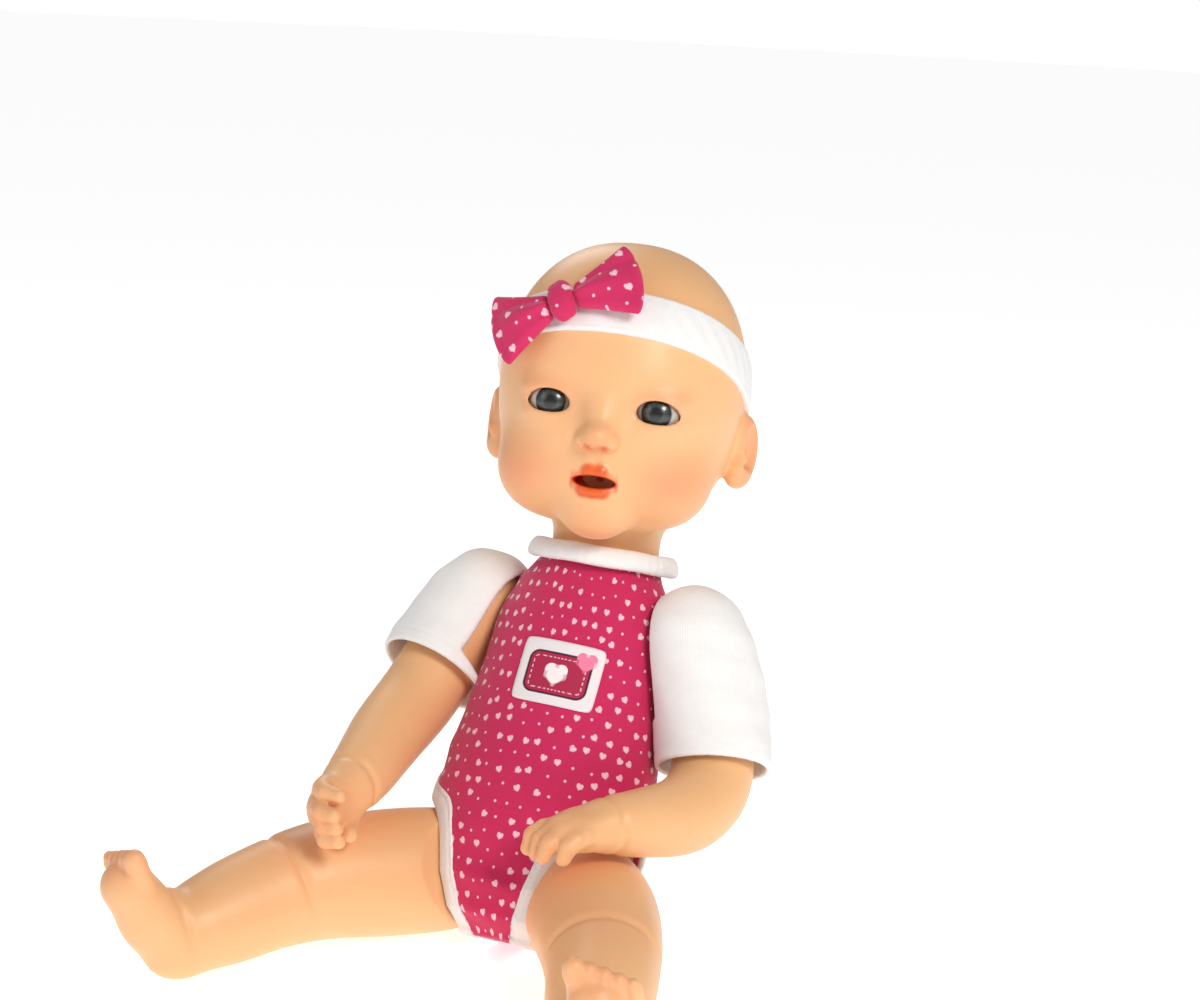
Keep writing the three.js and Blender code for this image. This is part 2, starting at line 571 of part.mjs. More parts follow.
function arm(side, name) {
  const frame = shoulderFrame(side);
  const group = frameGroup(doll, new THREE.Vector3(0, 0, SHOULDER_PLANE)
    .applyMatrix4(frame).toArray());
  const { arm: keys, hand: handKeys, sleeve: reach } = LIMBS[name];
  const outside = rodIn(frame, 150, SHOULDER_PLANE + 0.6, 220, 12);
  const flange = join(rodIn(frame, 4.6, SHOULDER_PLANE - 8, SHOULDER_PLANE + 6, 16),
    rodIn(frame, 8, SHOULDER_PLANE - 8.5, SHOULDER_PLANE - 5.5, 20));
  const root = overlap(join(limb(keys, 8, 12), ball(11.6, keys[0].slice(0, 3), 12, 8)), outside);
  addPlaced(group, name, join(root, hand(...handKeys), flange), 'vinyl');
  const sleevePath = new THREE.CatmullRomCurve3(keys.map((k) => vec(k)), false, 'centripetal');
  const [s0, mid, s1] = [0, 0.55, 1].map((t) => sleevePath.getPoint(t * reach / 5));
  const tube = (wall) => limb([[...s0.toArray(), 15.4 - wall],
    [...mid.toArray(), 15.8 - wall], [...s1.toArray(), 16.4 - wall]], 3, 14);
  const along = s1.clone().sub(mid).normalize();
  const beyond = rodIn(frameAlong(along.toArray(), s1.toArray()), 40, 0, 60, 8);
  const room = rodIn(frame, 12.6, SHOULDER_PLANE - 2, SHOULDER_PLANE + 12, 20);
  const cloth = cut(overlap(tube(0), outside), tube(1.4), beyond, room);
  addPlaced(group, name.replace('arm', 'sleeve'), cloth, 'white_cloth');
}

function leg(side, name) {
  const frame = hipFrame(side);
  const hip = mirrored(HIP, side);
  const group = frameGroup(doll, hip);
  const at = (p) => [side * p[0], p[1], p[2], p[3]];
  const keys = [[22, -2, 20, 17.6], [36, -20, 21, 18.2], [49, -40, 21.5, 16.5], [58, -56, 19, 14.4],
    [64, -70, 16, 13.2], [69, -84, 13.5, 10.6]].map(at);
  const foot = [[70, -87, 10.6, 10.2], [74, -93, 20, 9.4], [79, -100, 32, 8.2]].map(at);
  const toes = [0, 1, 2, 3, 4].map((i) => ball(3.5 - 0.3 * i,
    mirrored([73 + 3.6 * i, -103.5 + 1.9 * i, 40.5 - 1.1 * i], side), 6, 5));
  const outside = rodIn(frame, 200, HIP_PLANE + 0.5, 260, 12);
  const flange = join(rodIn(frame, 5.6, HIP_PLANE - 7, HIP_PLANE + 6, 16),
    rodIn(frame, 8.6, HIP_PLANE - 8.4, HIP_PLANE - 6, 14));
  const body = overlap(join(limb(keys, 8, 12), ball(HIP_R - 0.2, hip, 14, 9)), outside);
  addPlaced(group, name, cut(join(body, limb(foot, 3, 10), ...toes, flange), floorRoom(0)),
    'vinyl');
}

casing();
battery();
neckPost();
powerSwitch();
bodysuit();
chestLabel();
addPiece(head, 'head_shell', headShell(), 'vinyl');
mouthParts();
headband();
bow();
eye(1, 'eye_left');
eye(-1, 'eye_right');
arm(1, 'arm_left');
arm(-1, 'arm_right');
leg(1, 'leg_left');
leg(-1, 'leg_right');

export default doll;
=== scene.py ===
"""Interactive baby doll: the visual model, built over the fixed frame of its CAD bodies."""
import json
import logging
import math
from dataclasses import dataclass
from enum import Enum
from typing import Callable

import bpy
import numpy as np
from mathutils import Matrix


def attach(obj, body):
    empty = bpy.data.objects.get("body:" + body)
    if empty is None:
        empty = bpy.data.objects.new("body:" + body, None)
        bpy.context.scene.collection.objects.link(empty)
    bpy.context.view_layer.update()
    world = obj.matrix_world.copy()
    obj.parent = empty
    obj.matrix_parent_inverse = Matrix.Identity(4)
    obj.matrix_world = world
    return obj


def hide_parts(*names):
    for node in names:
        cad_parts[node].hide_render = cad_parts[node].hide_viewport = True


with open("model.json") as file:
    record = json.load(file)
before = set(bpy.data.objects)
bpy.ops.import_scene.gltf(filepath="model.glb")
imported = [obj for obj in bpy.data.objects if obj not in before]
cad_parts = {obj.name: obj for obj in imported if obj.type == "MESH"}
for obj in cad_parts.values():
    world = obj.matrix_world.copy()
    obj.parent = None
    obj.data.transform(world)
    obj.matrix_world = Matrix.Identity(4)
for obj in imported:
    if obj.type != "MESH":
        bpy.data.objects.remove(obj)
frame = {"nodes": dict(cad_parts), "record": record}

import openvdb
from mathutils import Matrix, Vector

LOG = logging.getLogger("doll")
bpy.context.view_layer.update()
Array = np.ndarray
Field = Callable[[Array], Array]
MM = 0.001


# ---- Distance fields, in millimetres ----------------------------------------------------

def smooth_join(a: Array, b: Array, k: float) -> Array:
    """Joins two fields with a fillet.

    Args:
        a: The first field's values.
        b: The second field's values.
        k: Fillet size in millimetres.

    Returns:
        The joined field's values.
    """
    h = np.clip(0.5 + 0.5 * (b - a) / k, 0, 1)
    return b + (a - b) * h - k * h * (1 - h)


def smooth_cut(a: Array, b: Array, k: float) -> Array:
    """Cuts field b out of field a with a rounded edge of size k."""
    return -smooth_join(-a, b, k)


def ellipsoid(p: Array, centre: tuple, half: tuple) -> Array:
    """Returns the distance from points p to an ellipsoid's surface, negative inside.

    Args:
        p: Points, in millimetres.
        centre: The middle.
        half: Half its size along X, Y and Z.

    Returns:
        One value or row for each point.
    """
    q = p - np.array(centre)
    r = np.array(half)
    k0 = np.linalg.norm(q / r, axis=-1)
    k1 = np.linalg.norm(q / r ** 2, axis=-1) + 1e-9
    return k0 * (k0 - 1) / k1


def cone(p: Array, a: tuple, b: tuple) -> Array:
    """Returns the distance to a round-ended cone between two (x, y, z, radius) points.

    Args:
        p: Points, in millimetres.
        a: The first end, as x, y, z and radius.
        b: The second end, as x, y, z and radius.

    Returns:
        One value or row for each point.
    """
    a, b = np.array(a, float), np.array(b, float)
    ab = b[:3] - a[:3]
    t = np.clip((p - a[:3]) @ ab / (ab @ ab), 0, 1)
    return np.linalg.norm(p - a[:3] - t[..., None] * ab, axis=-1) - (a[3] + t * (b[3] - a[3]))


def chain(p: Array, keys: list, k: float = 3.0) -> Array:
    """Returns the distance to a chain of cones whose joins have fillets of size k.

    Args:
        p: Points, in millimetres.
        keys: Rows of x, y, z and radius.
        k: Fillet size in millimetres.

    Returns:
        One value or row for each point.
    """
    value = cone(p, keys[0], keys[1])
    for a, b in zip(keys[1:], keys[2:]):
        value = smooth_join(value, cone(p, a, b), k)
    return value


def smooth_path(keys: list, steps: int) -> list:
    """Returns points of a Catmull-Rom curve through the keys, radii included.

    Args:
        keys: Rows of x, y, z and radius.
        steps: Points for each span.

    Returns:
        The points, in order.
    """
    pts = np.array([keys[0], *keys, keys[-1]], float)
    found = []
    for i in range(1, len(pts) - 2):
        for t in np.linspace(0, 1, steps, endpoint=False):
            a, b, c, d = pts[i - 1:i + 3]
            found.append(0.5 * (2 * b + (c - a) * t + (2 * a - 5 * b + 4 * c - d) * t ** 2
                                + (3 * b - a - 3 * c + d) * t ** 3))
    return [tuple(v) for v in found] + [tuple(pts[-1])]


def mesh_field(name: str, f: Field, low: tuple, high: tuple, step: float) -> tuple:
    """Turns a field's zero surface into points and quads.

    Args:
        name: Used in the log.
        f: The field.
        low: Lowest corner of the box to search.
        high: Highest corner.
        step: Grid step in millimetres.

    Returns:
        The points, pulled onto the surface, and the quads.
    """
    axes = [np.arange(a, b + step, step) for a, b in zip(low, high)]
    grid = np.stack(np.meshgrid(*axes, indexing="ij"), -1)
    values = np.stack([f(layer) for layer in grid]).astype(np.float32)
    vdb = openvdb.FloatGrid(3 * step)
    vdb.copyFromArray(np.clip(values, -3 * step, 3 * step))
    points, _, quads = vdb.convertToPolygons(isovalue=0.0, adaptivity=0.0)
    points = points.astype(float) * step + np.array([a[0] for a in axes])
    e = 0.05
    for _ in range(3):
        value = f(points)
        slope = np.stack([(f(points + np.eye(3)[i] * e) - value) / e for i in range(3)], -1)
        norm = np.maximum((slope ** 2).sum(-1), 0.2)
        points -= np.clip(value / norm, -0.5, 0.5)[:, None] * slope
    LOG.info("%s: %d quads", name, len(quads))
    return points, quads


# ---- Frames ---------------------------------------------------------------------------------

def axes_matrix(origin: Vector, x: Vector, z: Vector) -> Matrix:
    """Returns a frame's matrix from its origin and its X and Z axes.

    Args:
        origin: The frame's or the axis's starting point.
        x: Its X axis, before it is squared to Z.
        z: Its Z axis.

    Returns:
        The matrix, in metres.
    """
    z = z.normalized()
    x = (x - z * x.dot(z)).normalized()
    return Matrix.Translation(origin) @ Matrix((x, z.cross(x), z)).transposed().to_4x4()


JOINTS = {j["name"]: j for j in frame["record"]["behaviour"]["joints"]}
LEAN = math.radians(24)
PELVIS = Vector((0, 6, 27)) * MM
TORSO = Matrix.Translation(PELVIS) @ Matrix.Rotation(-LEAN, 4, "X")
_turn = JOINTS["head_turn"]
HEAD = axes_matrix(Vector(_turn["pos_m"]) - Vector(_turn["axis"]) * 3.5 * MM,
                   Vector(JOINTS["eye_left_blink"]["axis"]), Vector(_turn["axis"]))
EYES = {side: Vector(JOINTS[f"eye_{side}_blink"]["pos_m"]) for side in ("left", "right")}


def local_mm(world: Array, matrix: Matrix) -> Array:
    """Returns world points in millimetres as points of a frame, in millimetres."""
    m = np.array(matrix.inverted())
    return world @ m[:3, :3].T + m[:3, 3] / MM


# ---- Meshes ---------------------------------------------------------------------------------

def new_mesh(name: str, points: Array, faces: Array, matrix: Matrix = Matrix()) -> bpy.types.Object:
    """Makes a smooth-shaded object from millimetre points of a frame.

    Args:
        name: The object's name.
        points: Points in the frame, in millimetres.
        faces: Rows of point numbers.
        matrix: The frame, in metres.

    Returns:
        The new object, at the origin.
    """
    m = np.array(matrix)
    world = np.asarray(points, float) * MM @ m[:3, :3].T + m[:3, 3]
    mesh = bpy.data.meshes.new(name)
    mesh.from_pydata(world.tolist(), [], np.asarray(faces).tolist())
    mesh.shade_smooth()
    obj = bpy.data.objects.new(name, mesh)
    bpy.context.scene.collection.objects.link(obj)
    return obj


def set_value(obj: bpy.types.Object, name: str, values: Array) -> None:
    """Stores one number or one vector for each vertex under a name.

    Args:
        obj: The piece.
        name: Its name.
        values: One number or vector for each vertex.
    """
    kind = "FLOAT" if values.ndim == 1 else "FLOAT_VECTOR"
    layer = obj.data.attributes.new(name, kind, "POINT")
    layer.data.foreach_set("value" if values.ndim == 1 else "vector",
                           values.astype(np.float32).ravel())


def grid_faces(rows: int, columns: int, closed: bool = False) -> list:
    """Returns the quads of a grid of points, closed across its columns if asked."""
    last = columns if closed else columns - 1
    return [[r * columns + c, r * columns + (c + 1) % columns,
             (r + 1) * columns + (c + 1) % columns, (r + 1) * columns + c]
            for r in range(rows - 1) for c in range(last)]


def border(rows: int, columns: int) -> list:
    """Returns the points round the edge of a grid, in order."""
    last = (rows - 1) * columns
    return [*range(columns), *range(2 * columns - 1, rows * columns, columns),
            *range(last + columns - 2, last - 1, -1), *range(last - columns, columns - 1, -columns)]


# ---- Materials ------------------------------------------------------------------------------

class Nodes:
    """Small helper that adds and links nodes of one tree."""

    def __init__(self, tree: bpy.types.NodeTree) -> None:
        """Keeps the tree to build in."""
        self.tree = tree

    def add(self, kind: str, inputs: dict | None = None, **settings: object) -> bpy.types.Node:
        """Adds a node.

        Args:
            kind: The node's type name.
            inputs: Socket name or number to a value or a socket to link from.
            **settings: The node's own properties.

        Returns:
            The node.
        """
        node = self.tree.nodes.new(kind)
        for key, value in settings.items():
            setattr(node, key, value)
        for key, value in (inputs or {}).items():
            if isinstance(value, bpy.types.NodeSocket):
                self.tree.links.new(value, node.inputs[key])
            else:
                node.inputs[key].default_value = value
        return node

    def math(self, operation: str, a: object, b: object = 0.0, c: object = 0.0) -> object:
        """Returns the output of one Math node."""
        node = self.add("ShaderNodeMath", {0: a, 1: b, 2: c}, operation=operation)
        return node.outputs[0]

    def mix(self, factor: object, a: object, b: object) -> object:
        """Returns a colour mixed from a to b."""
        node = self.add("ShaderNodeMix", {0: factor, 6: a, 7: b}, data_type="RGBA")
        return node.outputs[2]


def srgb(red: int, green: int, blue: int) -> tuple:
    """Returns an 8-bit screen colour as a linear one."""
    return (*[(c / 255 / 12.92) if c <= 10 else ((c / 255 + 0.055) / 1.055) ** 2.4
              for c in (red, green, blue)], 1.0)


def new_group(name: str, inputs: dict, outputs: dict) -> tuple:
    """Starts a shader node group with named sockets.

    Args:
        name: The group's name.
        inputs: Socket name to (socket type, default value).
        outputs: Socket name to socket type.

    Returns:
        The group, its helper, its input node and its output node.
    """
    group = bpy.data.node_groups.new(name, "ShaderNodeTree")
    for key, (kind, default) in inputs.items():
        socket = group.interface.new_socket(key, in_out="INPUT", socket_type=kind)
        socket.default_value = default
    for key, kind in outputs.items():
        group.interface.new_socket(key, in_out="OUTPUT", socket_type=kind)
    nodes = Nodes(group)
    return group, nodes, nodes.add("NodeGroupInput"), nodes.add("NodeGroupOutput")


def heart_print_group() -> bpy.types.NodeTree:
    """Returns a group that scatters small hearts and dots in staggered rows over UV millimetres.

    Returns:
        The node group.
    """
    group, n, given, out = new_group(
        "Heart print", {"Vector": ("NodeSocketVector", (0, 0, 0)),
                        "Pitch": ("NodeSocketFloat", 5.2), "Size": ("NodeSocketFloat", 0.24)},
        {"Mask": "NodeSocketFloat"})
    parts = n.add("ShaderNodeSeparateXYZ", {0: given.outputs["Vector"]})
    row = n.math("DIVIDE", parts.outputs[1], given.outputs["Pitch"])
    row_number = n.math("FLOOR", row)
    stagger = n.math("MULTIPLY", n.math("MODULO", row_number, 2.0), 0.5)
    column = n.math("ADD", n.math("DIVIDE", parts.outputs[0], given.outputs["Pitch"]), stagger)
    column_number = n.math("FLOOR", column)
    cell = n.add("ShaderNodeCombineXYZ", {0: column_number, 1: row_number})
    noise = n.add("ShaderNodeTexWhiteNoise", {"Vector": cell.outputs[0]})
    rnd = n.add("ShaderNodeSeparateColor", {0: noise.outputs["Color"]})
    x = n.math("SUBTRACT", n.math("SUBTRACT", column, column_number),
               n.math("MULTIPLY_ADD", rnd.outputs[0], 0.34, 0.33))
    y = n.math("SUBTRACT", n.math("SUBTRACT", row, row_number),
               n.math("MULTIPLY_ADD", rnd.outputs[1], 0.34, 0.33))
    big = n.math("GREATER_THAN", rnd.outputs[2], 0.5)
    size = n.math("MULTIPLY", given.outputs["Size"],
                  n.math("MULTIPLY_ADD", big, 0.42, 0.36))
    angle = n.math("MULTIPLY_ADD", noise.outputs["Value"], 1.6, -0.8)
    cos, sin = n.math("COSINE", angle), n.math("SINE", angle)
    hx = n.math("DIVIDE", n.math("SUBTRACT", n.math("MULTIPLY", x, cos),
                                 n.math("MULTIPLY", y, sin)), size)
    hy = n.math("DIVIDE", n.math("ADD", n.math("MULTIPLY", x, sin),
                                 n.math("MULTIPLY", y, cos)), size)
    x2, y2 = n.math("MULTIPLY", hx, hx), n.math("MULTIPLY", hy, hy)
    disc = n.math("SUBTRACT", n.math("ADD", x2, y2), 1.0)
    notch = n.math("MULTIPLY", n.math("MULTIPLY", x2, n.math("MULTIPLY", y2, hy)), big)
    heart = n.math("SUBTRACT", n.math("MULTIPLY", n.math("MULTIPLY", disc, disc), disc), notch)
    mask = n.add("ShaderNodeMapRange", {"Value": heart, "From Min": 0.08, "From Max": -0.08})
    n.tree.links.new(mask.outputs[0], out.inputs["Mask"])
    return group


def knit_group() -> bpy.types.NodeTree:
    """Returns a group for the fine loops of jersey: a height and a shade, over UV millimetres.

    Returns:
        The node group.
    """
    group, n, given, out = new_group(
        "Jersey", {"Vector": ("NodeSocketVector", (0, 0, 0)), "Loops": ("NodeSocketFloat", 2.2)},
        {"Height": "NodeSocketFloat", "Shade": "NodeSocketFloat"})
    scaled = n.add("ShaderNodeVectorMath", {0: given.outputs["Vector"],
                                            "Scale": given.outputs["Loops"]}, operation="SCALE")
    parts = n.add("ShaderNodeSeparateXYZ", {0: scaled.outputs[0]})
    rows = n.math("SINE", n.math("MULTIPLY", parts.outputs[0], math.tau))
    zig = n.math("ABSOLUTE", n.math("SUBTRACT", n.math("FRACT", parts.outputs[0]), 0.5))
    loops = n.math("SINE", n.math("MULTIPLY", n.math("ADD", parts.outputs[1], zig), math.tau))
    height = n.math("MULTIPLY_ADD", n.math("ADD", rows, loops), 0.25, 0.5)
    soft = n.add("ShaderNodeTexNoise", {"Vector": given.outputs["Vector"], "Scale": 0.35})
    shade = n.math("MULTIPLY_ADD", soft.outputs[0], 0.07, 0.965)
    n.tree.links.new(height, out.inputs["Height"])
    n.tree.links.new(shade, out.inputs["Shade"])
    return group


@dataclass(frozen=True)
class Finish:
    """A procedural material: moulded vinyl, cloth or hard plastic."""

    name: str
    colour: tuple
    roughness: float = 0.5
    metallic: float = 0.0
    coat: float = 0.0

    def start(self) -> tuple:
        """Returns the material, its helper and its Principled shader.

        Returns:
            Both, in that order.
        """
        material = bpy.data.materials.new(self.name)
        material.use_nodes = True
        nodes = Nodes(material.node_tree)
        shader = material.node_tree.nodes["Principled BSDF"]
        shader.inputs["Base Color"].default_value = self.colour
        shader.inputs["Roughness"].default_value = self.roughness
        shader.inputs["Metallic"].default_value = self.metallic
        shader.inputs["Coat Weight"].default_value = self.coat
        return material, nodes, shader

    def bump(self, n: Nodes, shader: bpy.types.Node, height: object, depth: float,
             strength: float = 1.0) -> None:
        """Feeds a height, in metres of depth, to the shader's normal."""
        node = n.add("ShaderNodeBump", {"Height": height, "Distance": depth,
                                        "Strength": strength})
        n.tree.links.new(node.outputs[0], shader.inputs["Normal"])

    def plain(self, scale: float = 900.0, depth: float = 0.00004) -> bpy.types.Material:
        """Builds a moulded finish with slight mottling, grain and worn gloss.

        Args:
            scale: The grain's scale.
            depth: The grain's depth in metres.

        Returns:
            The material.
        """
        material, n, shader = self.start()
        where = n.add("ShaderNodeTexCoord").outputs["Object"]
        broad = n.add("ShaderNodeTexNoise", {"Vector": where, "Scale": 45.0, "Detail": 3.0})
        fine = n.add("ShaderNodeTexNoise", {"Vector": where, "Scale": scale, "Detail": 2.0})
        dark = tuple(c * 0.88 for c in self.colour[:3]) + (1.0,)
        colour = n.mix(broad.outputs[0], dark, self.colour)
        rough = n.add("ShaderNodeMapRange", {"Value": broad.outputs[0],
                                             "To Min": self.roughness - 0.06,
                                             "To Max": self.roughness + 0.06})
        n.tree.links.new(colour, shader.inputs["Base Color"])
        n.tree.links.new(rough.outputs[0], shader.inputs["Roughness"])
        self.bump(n, shader, fine.outputs[0], depth)
        return material


@dataclass(frozen=True)
class Vinyl(Finish):
    """Soft doll vinyl with sprayed blush and painted lips, from the attributes blush and lip."""

    blush: tuple = srgb(222, 112, 84)
    lips: tuple = srgb(224, 94, 38)
    deep: tuple = srgb(206, 40, 18)

    def build(self) -> bpy.types.Material:
        """Builds the material."""
        material, n, shader = self.start()
        where = n.add("ShaderNodeTexCoord").outputs["Object"]
        broad = n.add("ShaderNodeTexNoise", {"Vector": where, "Scale": 30.0, "Detail": 2.0})
        fine = n.add("ShaderNodeTexNoise", {"Vector": where, "Scale": 1300.0, "Detail": 2.0})
        warm = tuple(a * b for a, b in zip(self.colour, (0.97, 0.9, 0.84, 1)))
        colour = n.mix(broad.outputs[0], warm, self.colour)
        masks = {key: n.add("ShaderNodeAttribute", attribute_name=key).outputs["Fac"]
                 for key in ("blush", "lip", "deep")}
        colour = n.mix(masks["blush"], colour, self.blush)
        colour = n.mix(masks["lip"], colour, self.lips)
        colour = n.mix(masks["deep"], colour, self.deep)
        n.tree.links.new(colour, shader.inputs["Base Color"])
        rough = n.math("MULTIPLY_ADD", masks["lip"], -0.14, self.roughness)
        n.tree.links.new(rough, shader.inputs["Roughness"])
        shader.inputs["Subsurface Weight"].default_value = 0.18
        shader.inputs["Subsurface Radius"].default_value = (1.0, 0.45, 0.25)
        shader.inputs["Subsurface Scale"].default_value = 0.003
        shader.inputs["Specular IOR Level"].default_value = 0.42
        self.bump(n, shader, fine.outputs[0], 0.00003)
        return material


@dataclass(frozen=True)
class Cloth(Finish):
    """Jersey over UV millimetres, with hearts printed on it or plain."""

    printed: bool = False
    ink: tuple = srgb(250, 205, 218)
    pitch: float = 5.0
    sheen: float = 0.25

    def build(self) -> bpy.types.Material:
        """Builds the material."""
        material, n, shader = self.start()
        where = n.add("ShaderNodeUVMap", uv_map="cloth").outputs[0]
        scaled = n.add("ShaderNodeVectorMath", {0: where, "Scale": 1000.0}, operation="SCALE")
        knit = n.add("ShaderNodeGroup", {}, node_tree=GROUPS["knit"])
        n.tree.links.new(scaled.outputs[0], knit.inputs["Vector"])
        # Painted shade: the knit's low loops are darkened in colour, from the same height that
        # feeds the bump, then multiplied by the knit's random mottle.
        shade = n.add("ShaderNodeMapRange", {"Value": knit.outputs["Height"], "From Min": 0.0,
                                             "From Max": 1.0, "To Min": 0.86, "To Max": 1.0})
        loop_shade_and_mottle = n.math("MULTIPLY", shade.outputs[0], knit.outputs["Shade"])
        colour: object = self.colour
        if self.printed:
            hearts = n.add("ShaderNodeGroup", {}, node_tree=GROUPS["hearts"])
            n.tree.links.new(scaled.outputs[0], hearts.inputs["Vector"])
            hearts.inputs["Pitch"].default_value = self.pitch
            colour = n.mix(hearts.outputs["Mask"], self.colour, self.ink)
        darker = n.add("ShaderNodeHueSaturation", {"Color": colour, "Value": loop_shade_and_mottle})
        n.tree.links.new(darker.outputs[0], shader.inputs["Base Color"])
        shader.inputs["Sheen Weight"].default_value = self.sheen
        shader.inputs["Sheen Roughness"].default_value = 0.4
        self.bump(n, shader, knit.outputs["Height"], 0.00012, 0.6)
        return material


@dataclass(frozen=True)
class EyeFinish(Finish):
    """Painted eye from the vector attribute gaze, in iris radii."""

    iris: tuple = srgb(22, 32, 30)
    streak: tuple = srgb(66, 84, 78)
    rim: tuple = srgb(8, 9, 10)

    def build(self) -> bpy.types.Material:
        """Builds the material."""
        material, n, shader = self.start()
        gaze = n.add("ShaderNodeAttribute", attribute_name="gaze").outputs["Vector"]
        radius = n.add("ShaderNodeVectorMath", {0: gaze}, operation="LENGTH").outputs["Value"]
        parts = n.add("ShaderNodeSeparateXYZ", {0: gaze})
        angle = n.math("ARCTAN2", parts.outputs[1], parts.outputs[0])
        place = n.add("ShaderNodeCombineXYZ", {0: n.math("MULTIPLY", angle, 9.0),
                                               1: n.math("MULTIPLY", radius, 1.2)})
        streaks = n.add("ShaderNodeTexNoise", {"Vector": place.outputs[0], "Scale": 1.4,
                                               "Detail": 4.0})
        sharp = n.add("ShaderNodeMapRange", {"Value": streaks.outputs[0], "From Min": 0.42,
                                             "From Max": 0.66})
        colour = n.mix(sharp.outputs[0], self.iris, self.streak)

        def beyond(edge: float, soft: float) -> object:
            """Returns a mask that is 1 outside a radius."""
            return n.add("ShaderNodeMapRange", {"Value": radius, "From Min": edge - soft,
                                                "From Max": edge + soft}).outputs[0]

        colour = n.mix(beyond(0.83, 0.14), colour, self.rim)
        colour = n.mix(beyond(0.44, 0.05), srgb(4, 5, 6), colour)
        # Outside the iris: the eye white, whose colour is darkened as painted shade from the socket
        # and lid.
        colour = n.mix(beyond(1.0, 0.05), colour, self.colour)
        n.tree.links.new(colour, shader.inputs["Base Color"])
        shader.inputs["Coat Roughness"].default_value = 0.03
        return material


@dataclass(frozen=True)
class LabelFinish(Finish):
    """Woven patch over UV, 0 to 1: a rounded crimson panel, a stitched line and a heart."""

    panel: tuple = srgb(176, 30, 74)

    def build(self) -> bpy.types.Material:
        """Builds the material."""
        material, n, shader = self.start()
        uv = n.add("ShaderNodeUVMap", uv_map="cloth").outputs[0]
        parts = n.add("ShaderNodeSeparateXYZ", {0: uv})
        x = n.math("MULTIPLY", n.math("SUBTRACT", parts.outputs[0], 0.5), 27.0)
        y = n.math("MULTIPLY", n.math("SUBTRACT", parts.outputs[1], 0.48), 22.0)

        def box(half_x: float, half_y: float, corner: float) -> object:
            """Returns the distance to a rounded rectangle.

            Args:
                half_x: Half the width.
                half_y: Half the height.
                corner: The corner radius.

            Returns:
                The socket that carries it.
            """
            dx = n.math("MAXIMUM", n.math("SUBTRACT", n.math("ABSOLUTE", x), half_x - corner), 0.0)
            dy = n.math("MAXIMUM", n.math("SUBTRACT", n.math("ABSOLUTE", y), half_y - corner), 0.0)
            far = n.math("SQRT", n.math("ADD", n.math("MULTIPLY", dx, dx),
                                        n.math("MULTIPLY", dy, dy)))
            return n.math("SUBTRACT", far, corner)

        def inside(value: object, edge: float) -> object:
            """Returns a mask that is 1 where a distance is below an edge."""
            return n.add("ShaderNodeMapRange", {"Value": value, "From Min": edge + 0.12,
                                                "From Max": edge - 0.12}).outputs[0]

        outline = box(10.6, 7.4, 3.4)
        colour = n.mix(inside(outline, 0.0), self.colour, srgb(70, 14, 38))
        colour = n.mix(inside(outline, -0.7), colour, self.panel)
        ring = n.math("SUBTRACT", n.math("ABSOLUTE", n.math("ADD", outline, 1.9)), 0.16)
        turn = n.math("ARCTAN2", y, x)
        dash = n.math("GREATER_THAN", n.math("SINE", n.math("MULTIPLY", turn, 30.0)), -0.2)
        stitched = n.math("MULTIPLY", inside(ring, 0.0), dash)
        colour = n.mix(stitched, colour, srgb(240, 205, 215))

        def heart(cx: float, cy: float, size: float) -> object:
            """Returns the mask of one heart.

            Args:
                cx: The middle's x.
                cy: The middle's y.
                size: Its size across.

            Returns:
                The socket that carries it.
            """
            hx = n.math("DIVIDE", n.math("SUBTRACT", x, cx), size)
            hy = n.math("DIVIDE", n.math("SUBTRACT", y, cy), size)
            x2, y2 = n.math("MULTIPLY", hx, hx), n.math("MULTIPLY", hy, hy)
            disc = n.math("SUBTRACT", n.math("ADD", x2, y2), 1.0)
            cube = n.math("MULTIPLY", n.math("MULTIPLY", disc, disc), disc)
            value = n.math("SUBTRACT", cube, n.math("MULTIPLY", x2, n.math("MULTIPLY", y2, hy)))
            return n.add("ShaderNodeMapRange", {"Value": value, "From Min": 0.06,
                                                "From Max": -0.06}).outputs[0]

        colour = n.mix(heart(-0.6, -0.6, 3.3), colour, srgb(250, 240, 243))
        colour = n.mix(heart(8.2, 5.4, 2.9), colour, srgb(240, 130, 165))
        n.tree.links.new(colour, shader.inputs["Base Color"])
        weave = n.add("ShaderNodeTexWave", {"Vector": uv, "Scale": 18.0}, bands_direction="Y")
        self.bump(n, shader, weave.outputs[1], 0.0001, 0.5)
        return material


GROUPS = {"hearts": heart_print_group(), "knit": knit_group()}
VINYL = Vinyl("vinyl skin", srgb(238, 188, 138), 0.42).build()
CRIMSON = Cloth("heart jersey", srgb(208, 32, 92), 0.85, printed=True).build()
BOW_CLOTH = Cloth("bow jersey", srgb(212, 38, 98), 0.85, printed=True, pitch=5.6).build()
WHITE = Cloth("white jersey", srgb(247, 246, 246), 0.88, sheen=0.15).build()
SATIN = Cloth("white elastic", srgb(246, 245, 245), 0.62, sheen=0.3).build()
THREAD = Finish("sewing thread", srgb(236, 234, 234), 0.8).plain(2500.0)
LASH = Finish("lash fibre", srgb(18, 12, 10), 0.5).plain(2500.0)
